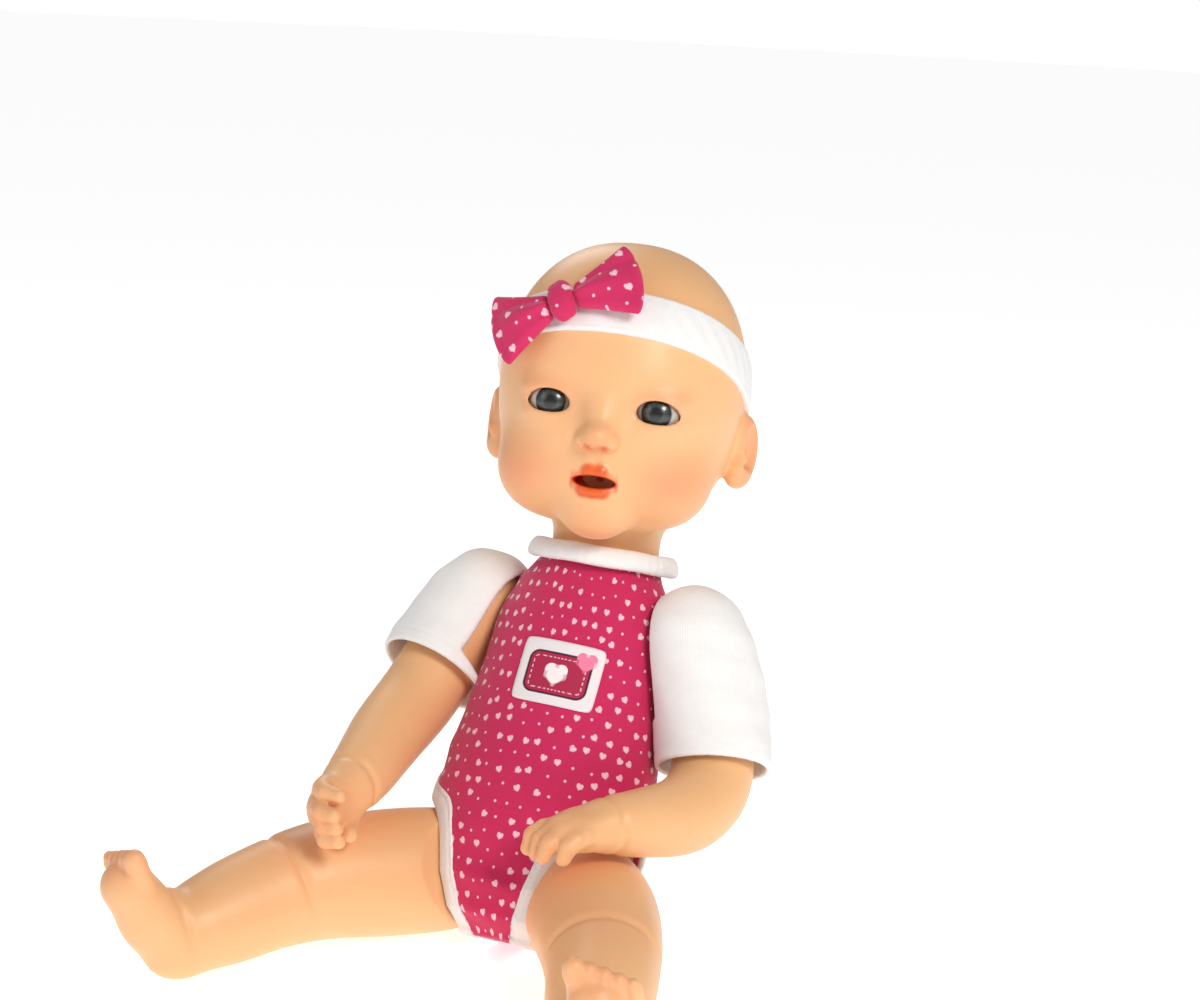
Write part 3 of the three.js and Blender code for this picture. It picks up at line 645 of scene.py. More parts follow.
# The eye white is partly the ball's own off-white and partly painted shade: it is darkened to stand
# for the shade of the recessed socket.
EYE = EyeFinish("painted eye", srgb(188, 180, 172), 0.3, coat=0.6).build()
LABEL = LabelFinish("woven label", srgb(238, 232, 235), 0.75).build()
CAD_FINISHES = {
    "lips": Finish("mouth lining", srgb(214, 40, 18), 0.4), "casing": Finish(
        "casing plastic", srgb(226, 205, 182), 0.5), "dark_plastic": Finish(
        "black plastic", srgb(34, 34, 37), 0.45), "steel": Finish(
        "plated steel", srgb(170, 170, 172), 0.3, 1.0), "cell": Finish(
        "cell sleeve", srgb(46, 110, 66), 0.35, 0.2), "board": Finish(
        "solder mask", srgb(22, 92, 44), 0.35), "grey_plastic": Finish(
        "grey plastic", srgb(140, 142, 148), 0.5),
}


def finish_piece(obj: bpy.types.Object, material: bpy.types.Material, slot: str, body: str,
                 *nodes: str) -> bpy.types.Object:
    """Gives a piece its finish and its body, and hides the CAD nodes it stands for.

    Args:
        obj: The piece.
        material: Its finish.
        slot: The record's material slot; not used.
        body: The body it rides on, or an empty text to leave it unattached.
        *nodes: The CAD nodes that it replaces.

    Returns:
        The piece.
    """
    obj.data.materials.append(material)
    if body:
        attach(obj, body)
    if nodes:
        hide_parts(*nodes)
    LOG.info("%s: %d faces on %s", obj.name, len(obj.data.polygons), body)
    return obj


def cloth_uv(obj: bpy.types.Object, flat: Callable[[Array], Array]) -> None:
    """Adds the UV map cloth, in metres on the cloth, from the vertices' millimetres.

    Args:
        obj: The piece.
        flat: Gives the cloth's own millimetres for points in millimetres.
    """
    co = np.empty(len(obj.data.vertices) * 3)
    obj.data.vertices.foreach_get("co", co)
    uv = flat(co.reshape(-1, 3) / MM) * MM
    loops = np.empty(len(obj.data.loops), int)
    obj.data.loops.foreach_get("vertex_index", loops)
    obj.data.uv_layers.new(name="cloth").data.foreach_set("uv", uv[loops].ravel())


# ---- Geometry Nodes: what repeats along a line ----------------------------------------------

def repeat_group() -> bpy.types.NodeTree:
    """Returns a node group that lays short threads or hairs along a line of edges.

    Returns:
        The node group.
    """
    tree = bpy.data.node_groups.new("Along a line", "GeometryNodeTree")
    face = tree.interface
    face.new_socket("Geometry", in_out="INPUT", socket_type="NodeSocketGeometry")
    for key, kind, default in (("Spacing", "NodeSocketFloat", 0.0016),
                               ("Length", "NodeSocketFloat", 0.001),
                               ("Radius", "NodeSocketFloat", 0.0002),
                               ("Stand Up", "NodeSocketFloat", 0.0),
                               ("Seed", "NodeSocketInt", 4),
                               ("Material", "NodeSocketMaterial", None)):
        socket = face.new_socket(key, in_out="INPUT", socket_type=kind)
        if default is not None:
            socket.default_value = default
    face.new_socket("Geometry", in_out="OUTPUT", socket_type="NodeSocketGeometry")
    n = Nodes(tree)
    given, out = n.add("NodeGroupInput"), n.add("NodeGroupOutput")
    line = n.add("GeometryNodeMeshToCurve", {"Mesh": given.outputs["Geometry"]})
    spots = n.add("GeometryNodeCurveToPoints", {"Curve": line.outputs[0],
                                                "Length": given.outputs["Spacing"]}, mode="LENGTH")
    hair = n.add("GeometryNodeMeshCone", {"Vertices": 6, "Side Segments": 3,
                                          "Radius Top": given.outputs["Radius"],
                                          "Radius Bottom": given.outputs["Radius"],
                                          "Depth": given.outputs["Length"]})
    middle = n.math("MULTIPLY", given.outputs["Length"], -0.5)
    shift = n.add("ShaderNodeCombineXYZ", {"Z": middle})
    centred = n.add("GeometryNodeTransform", {"Geometry": hair.outputs["Mesh"],
                                              "Translation": shift.outputs[0]})
    jitter = n.add("FunctionNodeRandomValue", {"Min": (-0.12, -0.12, -0.12),
                                               "Max": (0.12, 0.12, 0.12),
                                               "Seed": given.outputs["Seed"]},
                   data_type="FLOAT_VECTOR")
    up = n.add("GeometryNodeInputNamedAttribute", {"Name": "up"}, data_type="FLOAT_VECTOR")
    way = n.add("ShaderNodeMix", {0: given.outputs["Stand Up"], 4: spots.outputs["Tangent"],
                                  5: up.outputs[0]}, data_type="VECTOR")
    aimed = n.add("ShaderNodeVectorMath", {0: way.outputs[1], 1: jitter.outputs[0]})
    turn = n.add("FunctionNodeAlignRotationToVector", {"Vector": aimed.outputs[0]}, axis="Z")
    laid = n.add("GeometryNodeInstanceOnPoints", {
        "Points": spots.outputs["Points"], "Instance": centred.outputs[0],
        "Rotation": turn.outputs[0]})
    real = n.add("GeometryNodeRealizeInstances", {0: laid.outputs[0]})
    dressed = n.add("GeometryNodeSetMaterial", {"Geometry": real.outputs[0],
                                                "Material": given.outputs["Material"]})
    tree.links.new(dressed.outputs[0], out.inputs[0])
    return tree


REPEAT = repeat_group()


def along(name: str, points: Array, material: bpy.types.Material, closed: bool = False,
          ups: Array | None = None, **inputs: float) -> bpy.types.Object:
    """Lays stitches or hairs along a line of world points.

    Args:
        name: The new piece's name.
        points: The line, in world millimetres.
        material: The threads' finish.
        closed: Whether the line is a loop.
        ups: The way hairs stand at each point, where they stand.
        **inputs: The node group's inputs, by name with _ for a space.

    Returns:
        The piece, as a plain mesh.
    """
    count = len(points)
    edges = [(i, (i + 1) % count) for i in range(count if closed else count - 1)]
    mesh = bpy.data.meshes.new(name + "_line")
    mesh.from_pydata((np.asarray(points) * MM).tolist(), edges, [])
    obj = bpy.data.objects.new(name + "_line", mesh)
    bpy.context.scene.collection.objects.link(obj)
    if ups is not None:
        set_value(obj, "up", np.asarray(ups, float))
    modifier = obj.modifiers.new("Along", "NODES")
    modifier.node_group = REPEAT
    for item in REPEAT.interface.items_tree:
        key = item.name.replace(" ", "_")
        if item.in_out == "INPUT" and key in inputs:
            modifier[item.identifier] = inputs[key]
        elif item.in_out == "INPUT" and item.name == "Material":
            modifier[item.identifier] = material
    graph = bpy.context.evaluated_depsgraph_get()
    made = bpy.data.meshes.new_from_object(obj.evaluated_get(graph))
    bpy.data.objects.remove(obj)
    piece = bpy.data.objects.new(name, made)
    bpy.context.scene.collection.objects.link(piece)
    if not made.materials:
        made.materials.append(material)
    return piece


# ---- Head -----------------------------------------------------------------------------------

@dataclass
class Head:
    """The moulded vinyl head, in its own frame in millimetres: the face looks along -Y."""

    centre: tuple = (0, -1, 57)
    half_width: float = 39
    front: float = 43
    back: float = 46
    up: float = 48
    down: float = 45
    squareness: float = 2.25
    eye: tuple = (16.5, -31.8, 54)
    eye_room: float = 9.0
    opening: tuple = (6.5, 3.75)
    mouth: tuple = (0, -40, 31)
    ear: tuple = (39.6, 5, 43.4)
    step: float = 0.75

    def skull(self, p: Array) -> Array:
        """Returns the distance to the plain rounded head.

        Args:
            p: Points, in millimetres.

        Returns:
            One value or row for each point.
        """
        q = p - np.array(self.centre)
        far = np.linalg.norm(q, axis=-1) + 1e-6
        d = q / far[..., None]
        width = self.half_width - 2 * np.maximum(0, -d[..., 2])
        depth = np.where(d[..., 1] < 0, self.front, self.back)
        height = np.where(d[..., 2] < 0, self.down, self.up)
        s = self.squareness
        total = (np.abs(d[..., 0] / width) ** s + np.abs(d[..., 1] / depth) ** s
                 + np.abs(d[..., 2] / height) ** s)
        return far - total ** (-1 / s)

    def face(self, p: Array) -> Array:
        """Returns the distance to the head with its features but no openings.

        Args:
            p: Points, in millimetres.

        Returns:
            One value or row for each point.
        """
        q = p.copy()
        q[..., 0] = np.abs(q[..., 0])
        v = self.skull(p)
        v = smooth_join(v, ellipsoid(q, (18, -22, 31.5), (15, 14.5, 13.5)), 9)
        v = smooth_join(v, ellipsoid(q, (0, -28.5, 30), (13.5, 12.6, 12)), 7)
        v = smooth_join(v, ellipsoid(q, (0, -30.5, 19.5), (9.5, 8.5, 7)), 6)
        v = smooth_join(v, cone(p, (0, 2, 0, 17), (0, 0, 26, 18)), 5)
        v = smooth_cut(v, ellipsoid(q, (17, -47.6, 54.5), (10, 6.6, 6)), 8)
        v = smooth_join(v, ellipsoid(q, (17, -34.8, 57.4), (8.2, 6.2, 3.4)), 4.5)
        v = smooth_join(v, ellipsoid(q, (16.6, -34.4, 50.2), (8, 6.0, 2.8)), 4.5)
        v = smooth_join(v, cone(p, (0, -40.8, 54, 2.2), (0, -44.4, 46.2, 3.6)), 5.5)
        v = smooth_join(v, ellipsoid(q, (0, -46.0, 45.0), (4.3, 4.2, 3.7)), 2.8)
        v = smooth_join(v, ellipsoid(q, (4.3, -43.2, 43.6), (2.6, 3.2, 2.6)), 1.6)
        v = smooth_cut(v, ellipsoid(q, (2.3, -45.3, 41.4), (1.3, 1.9, 1.1)), 0.9)
        v = smooth_cut(v, cone(p, (0, -43.4, 40.3, 1.0), (0, -42.6, 37.2, 1.2)), 1.8)
        return v

    def lips(self, p: Array) -> Array:
        """Returns the distance to both lips together.

        Args:
            p: Points, in millimetres.

        Returns:
            One value or row for each point.
        """
        _, y, z = self.mouth
        q = p.copy()
        q[..., 0] = np.abs(q[..., 0])
        upper = chain(q, [(0, y - 1.1, z + 3.0, 1.5), (1.9, y - 1.1, z + 3.3, 1.6),
                          (5.0, y + 0.2, z + 1.3, 1.2), (8.2, y + 2.4, z - 0.7, 0.7)], 1.4)
        lower = chain(q, [(0, y - 0.8, z - 3.1, 1.8), (3.0, y - 0.3, z - 2.8, 1.6),
                          (7.6, y + 2.1, z - 0.9, 0.8)], 1.5)
        return np.minimum(upper, lower)

    def ears(self, p: Array) -> Array:
        """Returns the distance to both ears, with a rim, a hollow and a small flap.

        Args:
            p: Points, in millimetres.

        Returns:
            One value or row for each point.
        """
        q = p.copy()
        q[..., 0] = np.abs(q[..., 0])
        q = q - np.array(self.ear)
        a, b = math.radians(14), math.radians(8)
        x = q[..., 0] * math.cos(a) - q[..., 1] * math.sin(a)
        y = q[..., 0] * math.sin(a) + q[..., 1] * math.cos(a)
        y, z = (y * math.cos(b) + q[..., 2] * math.sin(b),
                q[..., 2] * math.cos(b) - y * math.sin(b))
        r = np.stack([x, y, z], -1)
        v = ellipsoid(r, (0.2, 0, 0.6), (4.6, 7.2, 11))
        v = smooth_join(v, ellipsoid(r, (-0.6, -2.2, -8.2), (3.6, 4.4, 4)), 3)
        v = smooth_cut(v, ellipsoid(r, (4.6, -0.6, 1.4), (3.2, 4.6, 7.6)), 1.6)
        v = smooth_cut(v, ellipsoid(r, (2.2, -2.6, -1.6), (2.6, 2.8, 3.6)), 1.2)
        return smooth_join(v, ellipsoid(r, (1.6, -5.4, -1.4), (2.2, 1.6, 2.4)), 1.2)

    def full(self, p: Array) -> Array:
        """Returns the distance to the finished head.

        Args:
            p: Points, in millimetres.

        Returns:
            One value or row for each point.
        """
        _, y, z = self.mouth
        q = p.copy()
        q[..., 0] = np.abs(q[..., 0])
        v = smooth_join(self.face(p), self.ears(p), 2.6)
        v = smooth_join(v, self.lips(p), 1.8)
        hole = ellipsoid(q, (0, y - 1, z - 0.1), (6.6, 12, 1.9))
        v = smooth_cut(v, hole, 0.9)
        v = np.maximum(v, -ellipsoid(q, (0, y + 5.5, z), (7.6, 6, 4.6)))
        ex, _, ez = self.eye
        dx, dz = (q[..., 0] - ex - 0.4) / self.opening[0], (q[..., 2] - ez) / self.opening[1]
        dz = np.where(dz < 0, dz * 1.06, dz) + 0.12 * (dx ** 2 - 0.3)
        almond = (np.sqrt(np.abs(dx) ** 2.1 + np.abs(dz) ** 2.1 + 1e-9) - 1) * self.opening[1]
        almond = np.maximum(almond, q[..., 1] + 26)
        v = smooth_cut(v, almond, 0.8)
        room = np.linalg.norm(q - np.array(self.eye), axis=-1) - self.eye_room
        v = np.maximum(v, -np.maximum(room, -(q[..., 1] + 39.9)))
        return v

    def dress(self, obj: bpy.types.Object) -> None:
        """Stores the masks blush, lip and deep on the head's vertices.

        Args:
            obj: The piece.
        """
        co = np.empty(len(obj.data.vertices) * 3)
        obj.data.vertices.foreach_get("co", co)
        p = local_mm(co.reshape(-1, 3) / MM, HEAD)
        q = p.copy()
        q[:, 0] = np.abs(q[:, 0])
        cheek = np.exp(-(((q[:, 0] - 24) / 11) ** 2 + ((q[:, 2] - 32) / 9.5) ** 2))
        cheek *= np.clip((-q[:, 1] - 8) / 12, 0, 1) * 0.42
        chin = 0.25 * np.exp(-((p[:, 0] / 8) ** 2 + ((p[:, 2] - 17) / 6) ** 2)) * (p[:, 1] < -25)
        nose = 0.3 * np.exp(-((p[:, 0] / 5) ** 2 + ((p[:, 2] - 44) / 4) ** 2)) * (p[:, 1] < -38)
        lid = 0.3 * np.exp(-(((q[:, 0] - 17) / 9) ** 2 + ((q[:, 2] - 56) / 6) ** 2))
        lid *= p[:, 1] < -25
        ear = 0.35 * np.clip(1 - np.abs(q[:, 0] - 43) / 5, 0, 1)
        nostril = np.exp(-(((q[:, 0] - 2.3) / 1.2) ** 2 + ((p[:, 2] - 41.4) / 1.1) ** 2))
        nostril *= p[:, 1] < -41
        lips = np.clip(1 - (self.lips(p) - 0.15) / 0.6, 0, 1) * (p[:, 1] < -34) * 0.97
        lips *= np.clip((8.6 - q[:, 0]) / 1.4, 0, 1)
        set_value(obj, "blush", np.clip(cheek + chin + nose + lid + ear, 0, 1))
        z = self.mouth[2]
        inner = np.clip(1 - np.abs(p[:, 2] - z) / 3.4, 0, 1) * (q[:, 0] < 7.2) * (p[:, 1] < -30)
        inner *= np.clip((p[:, 1] + 41.6) / 1.6, 0, 1)
        set_value(obj, "lip", np.clip(lips + nostril * 0.7, 0, 1))
        set_value(obj, "deep", np.clip(inner * 1.6, 0, 1))

    def build(self) -> None:
        """Builds the head."""
        points, quads = mesh_field("head", self.full, (-48, -52, -2), (48, 50, 108), self.step)
        obj = new_mesh("head_vinyl", points, quads, HEAD)
        self.dress(obj)
        finish_piece(obj, VINYL, "vinyl", "head", "head_shell")


# ---- Eyes -----------------------------------------------------------------------------------

@dataclass
class Eye:
    """One rocking eye: a painted ball, its lid and its lashes."""

    side: str
    ball: float = 8.2
    lid: float = 8.7
    iris: float = 4.8
    margin: float = 34.0

    def patch(self, radius: float, around: Array, across: Array) -> Array:
        """Returns head-frame directions times a radius, for angles about the blink axis.

        Args:
            radius: The radius in millimetres.
            around: Angles about the blink axis, in degrees.
            across: Angles along the blink axis, in degrees.

        Returns:
            One value or row for each point.
        """
        a, c = np.meshgrid(np.radians(around), np.radians(across), indexing="ij")
        way = np.stack([np.sin(c), -np.cos(c) * np.cos(a), np.cos(c) * np.sin(a)], -1)
        return (way * radius).reshape(-1, 3)

    def build(self) -> None:
        """Builds the ball, the lid and the lashes."""
        body = f"eye_{self.side}"
        frame_here = Matrix.Translation(EYES[self.side]) @ HEAD.to_3x3().to_4x4()
        around, across = np.linspace(0, 360, 73)[:-1], np.linspace(-89, 89, 49)
        local = self.patch(1.0, around, across)
        flat = np.linalg.norm(local[:, [0, 2]], axis=1) * self.ball / self.iris
        bulge = np.where(local[:, 1] < 0, 0.25 * np.exp(-(flat / 0.8) ** 4), 0)
        points = local * (self.ball - 0.1 + bulge)[:, None]
        rows = [[(r + 1) % 72 * 49 + c, (r + 1) % 72 * 49 + c + 1, r * 49 + c + 1, r * 49 + c]
                for r in range(72) for c in range(48)]
        obj = new_mesh(body + "_painted", points, rows, frame_here)
        gaze = local * self.ball / self.iris
        gaze = np.stack([gaze[:, 0], gaze[:, 2] + 0.04, np.zeros(len(gaze))], -1)
        gaze[local[:, 1] > 0] = (3, 3, 0)
        set_value(obj, "gaze", gaze)
        finish_piece(obj, EYE, "eye_white", body, body + "_ball", body + "_iris")
        rows_lid, columns = 34, 40
        around = np.linspace(self.margin, 150, rows_lid)
        across = np.linspace(-76, 76, columns)
        outer, inner = self.patch(self.lid, around, across), self.patch(8.32, around, across)
        faces, layer = grid_faces(rows_lid, columns), rows_lid * columns
        back = [[layer + i for i in quad[::-1]] for quad in faces]
        edge = border(rows_lid, columns)
        rim = [[a, b, layer + b, layer + a] for a, b in zip(edge, edge[1:] + edge[:1])]
        obj = new_mesh(body + "_lid_skin", np.vstack([outer, inner]),
                       [q[::-1] for q in faces] + [q[::-1] for q in back] + rim, frame_here)
        set_value(obj, "blush", np.full(2 * layer, 0.3))
        finish_piece(obj, VINYL, "vinyl", body, body + "_lid")
        m = np.array(frame_here)
        line = self.patch(self.lid + 0.1, np.array([self.margin + 2.0]), np.linspace(-44, 44, 30))
        way = self.patch(1.0, np.array([self.margin + 14.0]), np.linspace(-58, 58, 30))
        way = way + np.array([0, -0.25, 0.35])
        lashes = along(body + "_lashes", line @ m[:3, :3].T + m[:3, 3] / MM, LASH,
                       ups=way @ m[:3, :3].T, Spacing=0.00055, Length=0.0034, Radius=0.00009,
                       Stand_Up=1.0)
        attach(lashes, body)


# ---- Torso clothes --------------------------------------------------------------------------

SECTIONS = np.array([
    (-27, 17, 15), (-22, 25, 21), (-12, 31, 26), (4, 34, 28.5), (22, 33.5, 28.5),
    (40, 31, 26), (58, 29, 23), (74, 28.5, 20.5), (86, 24, 18), (93, 19, 16.5), (97, 17, 15.5)])
HIP_ORIGIN = np.array([0, -2, 26.31])


def torso_field(p: Array) -> Array:
    """Returns the distance from world points to the torso casing's outside.

    Args:
        p: Points, in millimetres.

    Returns:
        One value or row for each point.
    """
    q = local_mm(p, TORSO)
    a = np.interp(q[..., 2], SECTIONS[:, 0], SECTIONS[:, 1])
    b = np.interp(q[..., 2], SECTIONS[:, 0], SECTIONS[:, 2])
    k0 = np.sqrt((q[..., 0] / a) ** 2 + (q[..., 1] / b) ** 2) + 1e-6
    k1 = np.sqrt((q[..., 0] / a ** 2) ** 2 + (q[..., 1] / b ** 2) ** 2) + 1e-6
    side = k0 * (k0 - 1) / k1
    ends = np.abs(q[..., 2] - 35) - 62
    return smooth_cut(side, -ends, 3.0)


def axis_parts(p: Array, origin: Array, axis: Array) -> tuple:
    """Returns the distance along an axis and the distance from it.

    Args:
        p: Points, in millimetres.
        origin: The frame's or the axis's starting point.
        axis: The axis's unit direction.

    Returns:
        Both, in that order.
    """
    q = p - origin
    d = q @ axis
    return d, np.linalg.norm(q - d[..., None] * axis, axis=-1)


def hip_room(p: Array, side: int) -> Array:
    """Returns the distance to the room that one leg sweeps through.

    Args:
        p: Points, in millimetres.
        side: 1 for the doll's left, -1 for its right.

    Returns:
        One value or row for each point.
    """
    axis = np.array([side * math.cos(math.radians(16)), 0, -math.sin(math.radians(16))])
    d, far = axis_parts(p, HIP_ORIGIN, axis)
    plane = np.maximum(17.5 - d, (17.5 + (far - 26) * 0.7045 - d) / 1.223)
    ball = np.linalg.norm(p - np.array([22 * side, -2, 20]), axis=-1) - 19.4
    front = np.maximum(p[..., 1] - 17, p[..., 2] - 42)
    return -smooth_join(-plane, -np.minimum(ball, front), 7)


def shoulder_parts(p: Array, side: int) -> tuple:
    """Returns the distances along and from one shoulder's axis.

    Args:
        p: Points, in millimetres.
        side: 1 for the doll's left, -1 for its right.

    Returns:
        Both, in that order.
    """
    rise = math.radians(12)
    m = np.array(TORSO)
    axis = m[:3, :3] @ np.array([side * math.cos(rise), 0, math.sin(rise)])
    origin = m[:3, :3] @ np.array([0, 0, 69]) + m[:3, 3] / MM
    return axis_parts(p, origin, axis)


def neck_height(p: Array) -> Array:
    """Returns the height of world points above the neck opening's plane.

    Args:
        p: Points, in millimetres.

    Returns:
        One value or row for each point.
    """
    q = local_mm(p, TORSO) - np.array([0, 0, 95.8])
    tilt = math.radians(9)
    return q[..., 2] * math.cos(tilt) - q[..., 1] * math.sin(tilt)


@dataclass
class Bodysuit:
    """The heart-print body with its soft folds and its white edgings."""

    cloth: float = 1.3
    binding: float = 5.5
    step: float = 1.0

    def folds(self, p: Array) -> Array:
        """Returns the height of the cloth's soft folds.

        Args:
            p: Points, in millimetres.

        Returns:
            One value or row for each point.
        """
        q = local_mm(p, TORSO)
        x, y, z = q[..., 0], q[..., 1], q[..., 2]
        waist = np.exp(-((z - 22) / 20) ** 2) * np.sin(0.36 * z + 0.09 * x + 0.9 * np.sin(0.11 * x))
        hips = np.zeros_like(z)
        for side in (-1, 1):
            d = p - np.array([26 * side, -8, 24])
            angle = np.arctan2(d[..., 2], -d[..., 1])
            near = np.exp(-((np.linalg.norm(d, axis=-1) - 27) / 9) ** 2)
            hips = hips + near * np.sin(9 * angle + side)
        fine = np.sin(0.52 * x + 0.31 * z) * np.sin(0.27 * y - 0.4 * z + 1.0)
        return 0.5 * waist + 0.7 * hips + 0.2 * fine

    def outside(self, p: Array) -> Array:
        """Returns the distance to the cloth's outside before its openings are cut."""
        return torso_field(p) - self.cloth - 0.25 - 0.6 * self.folds(p)

    def openings(self, p: Array) -> Array:
        """Returns the distance to the leg, arm and neck openings together.

        Args:
            p: Points, in millimetres.

        Returns:
            One value or row for each point.
        """
        rooms = np.minimum(hip_room(p, 1), hip_room(p, -1)) - 0.5
        for side in (-1, 1):
            d, far = shoulder_parts(p, side)
            rooms = np.minimum(rooms, np.maximum(28.0 - d, far - 26.4))
        return np.minimum(rooms, 1.2 - neck_height(p))

    def field(self, p: Array) -> Array:
        """Returns the distance to the cloth.

        Args:
            p: Points, in millimetres.

        Returns:
            One value or row for each point.
        """
        v = np.maximum(self.outside(p), -(torso_field(p) + 1.4))
        v = smooth_cut(v, self.openings(p), 0.6)
        return np.maximum(v, 0.05 - p[..., 2])

    def edging(self, p: Array, side: int) -> Array:
        """Returns the distance to one leg opening's white edging.

        Args:
            p: Points, in millimetres.
            side: 1 for the doll's left, -1 for its right.

        Returns:
            One value or row for each point.
        """
        room = hip_room(p, side) - 0.4
        skin = np.maximum(torso_field(p) - 2.35 - 0.2 * self.folds(p), -(torso_field(p) - 0.1))
        ridge = 0.25 * np.cos(np.clip(room - 4.2, -0.8, 0.8) * math.pi / 0.8 + math.pi) - 0.25
        v = smooth_cut(skin - ridge, room + 0.9, 1.2)
        v = smooth_cut(v, -(room - self.binding), 1.2)
        return np.maximum(v, 0.08 - p[..., 2])

    def flat(self, p: Array) -> Array:
        """Returns the cloth's own coordinates, in millimetres."""
        q = local_mm(p, TORSO)
        return np.stack([np.arctan2(q[:, 0], -q[:, 1]) * 30, q[:, 2]], -1)

    def build(self) -> None:
        """Builds the cloth and its edgings."""
        points, quads = mesh_field("bodysuit", self.field, (-42, -38, -2), (42, 80, 122), self.step)
        obj = new_mesh("bodysuit_jersey", points, quads)
        cloth_uv(obj, self.flat)
        finish_piece(obj, CRIMSON, "crimson", "torso", "bodysuit")
        for side, word in ((1, "left"), (-1, "right")):
            low = (4, -40, -1) if side > 0 else (-42, -40, -1)
            high = (42, 42, 62) if side > 0 else (-4, 42, 62)
            points, quads = mesh_field("edging", lambda p, s=side: self.edging(p, s), low,
                                       high, 0.8)
            obj = new_mesh(f"leg_edging_{word}", points, quads)
            cloth_uv(obj, self.flat)
            finish_piece(obj, SATIN, "white_cloth", "torso", f"leg_binding_{word}")
        self.collar()
        self.label()

    def collar(self) -> None:
        """Builds the gathered white neck edging."""
        base = TORSO @ Matrix.Translation((0, 0, 95.8 * MM)) @ Matrix.Rotation(
            LEAN - math.radians(15), 4, "X")
        outline = np.array([(20.4, 1.2), (21.2, -0.6), (22.6, -1.5), (24.0, -1.1), (24.5, 0.4),
                            (24.1, 2.4), (23.2, 4.1), (22.2, 4.9), (21.1, 5.0), (20.5, 3.4)])
        turns = np.linspace(0, math.tau, 181)[:-1]
        points = []
        for r, z in outline:
            gather = 0.16 * np.sin(turns * 46 + 0.6 * np.sin(turns * 5)) * (r > 22)
            points.append(np.stack([(r + gather) * np.cos(turns), (r + gather) * np.sin(turns),
                                    z + 0.12 * np.sin(turns * 7)], -1))
        n = len(outline)
        faces = [[r * 180 + c, r * 180 + (c + 1) % 180, (r + 1) % n * 180 + (c + 1) % 180,
                  (r + 1) % n * 180 + c] for r in range(n) for c in range(180)]
        obj = new_mesh("neck_edging", np.vstack(points), faces, base)
        cloth_uv(obj, self.flat)
        finish_piece(obj, SATIN, "white_cloth", "torso", "neck_binding")

    def label(self) -> None:
        """Builds the woven label on the chest."""
        base = Matrix.Rotation(math.radians(14), 4, "Z") @ Matrix.Translation((0, 0, 55 * MM))
        u, v = np.meshgrid(np.linspace(-1, 1, 41), np.linspace(-1, 1, 33), indexing="ij")
        corner = 1 - 0.05 * (np.abs(u) ** 8) * (np.abs(v) ** 8)
        flat = np.stack([u * corner * 13.3, np.zeros_like(u), v * corner * 10.3], -1).reshape(-1, 3)
        m = np.array(TORSO @ base)

        def lift(offset: float) -> Array:
            """Returns the flat grid pushed onto the torso at an offset.

            Args:
                offset: Millimetres outside the casing.

            Returns:
                One value or row for each point.
            """
            low, high = np.full(len(flat), -45.0), np.full(len(flat), -8.0)
            for _ in range(26):
                middle = (low + high) / 2
                here = flat.copy()
                here[:, 1] = middle
                inside = torso_field(here @ m[:3, :3].T + m[:3, 3] / MM) < offset
                high, low = np.where(inside, middle, high), np.where(inside, low, middle)
            here = flat.copy()
            here[:, 1] = (low + high) / 2
            return here

        edge = np.maximum(np.abs(u), np.abs(v)).ravel()
        front, back = lift(2.5), lift(1.2)
        front[:, 1] += np.clip((edge - 0.94) / 0.06, 0, 1) * 0.3
        faces, layer = grid_faces(*u.shape), u.size
        back_faces = [[layer + i for i in quad[::-1]] for quad in faces]
        rim = border(*u.shape)
        wall = [[b, a, layer + a, layer + b] for a, b in zip(rim, rim[1:] + rim[:1])]
        obj = new_mesh("chest_patch", np.vstack([front, back]), faces + back_faces + wall,
                       TORSO @ base)
        uv = np.stack([(u.ravel() + 1) / 2, (v.ravel() + 1) / 2], -1)
        uv = np.vstack([uv, uv])
        cloth_uv(obj, lambda p: uv / MM)
        finish_piece(obj, LABEL, "label", "torso", "chest_label")


# ---- Limbs ----------------------------------------------------------------------------------

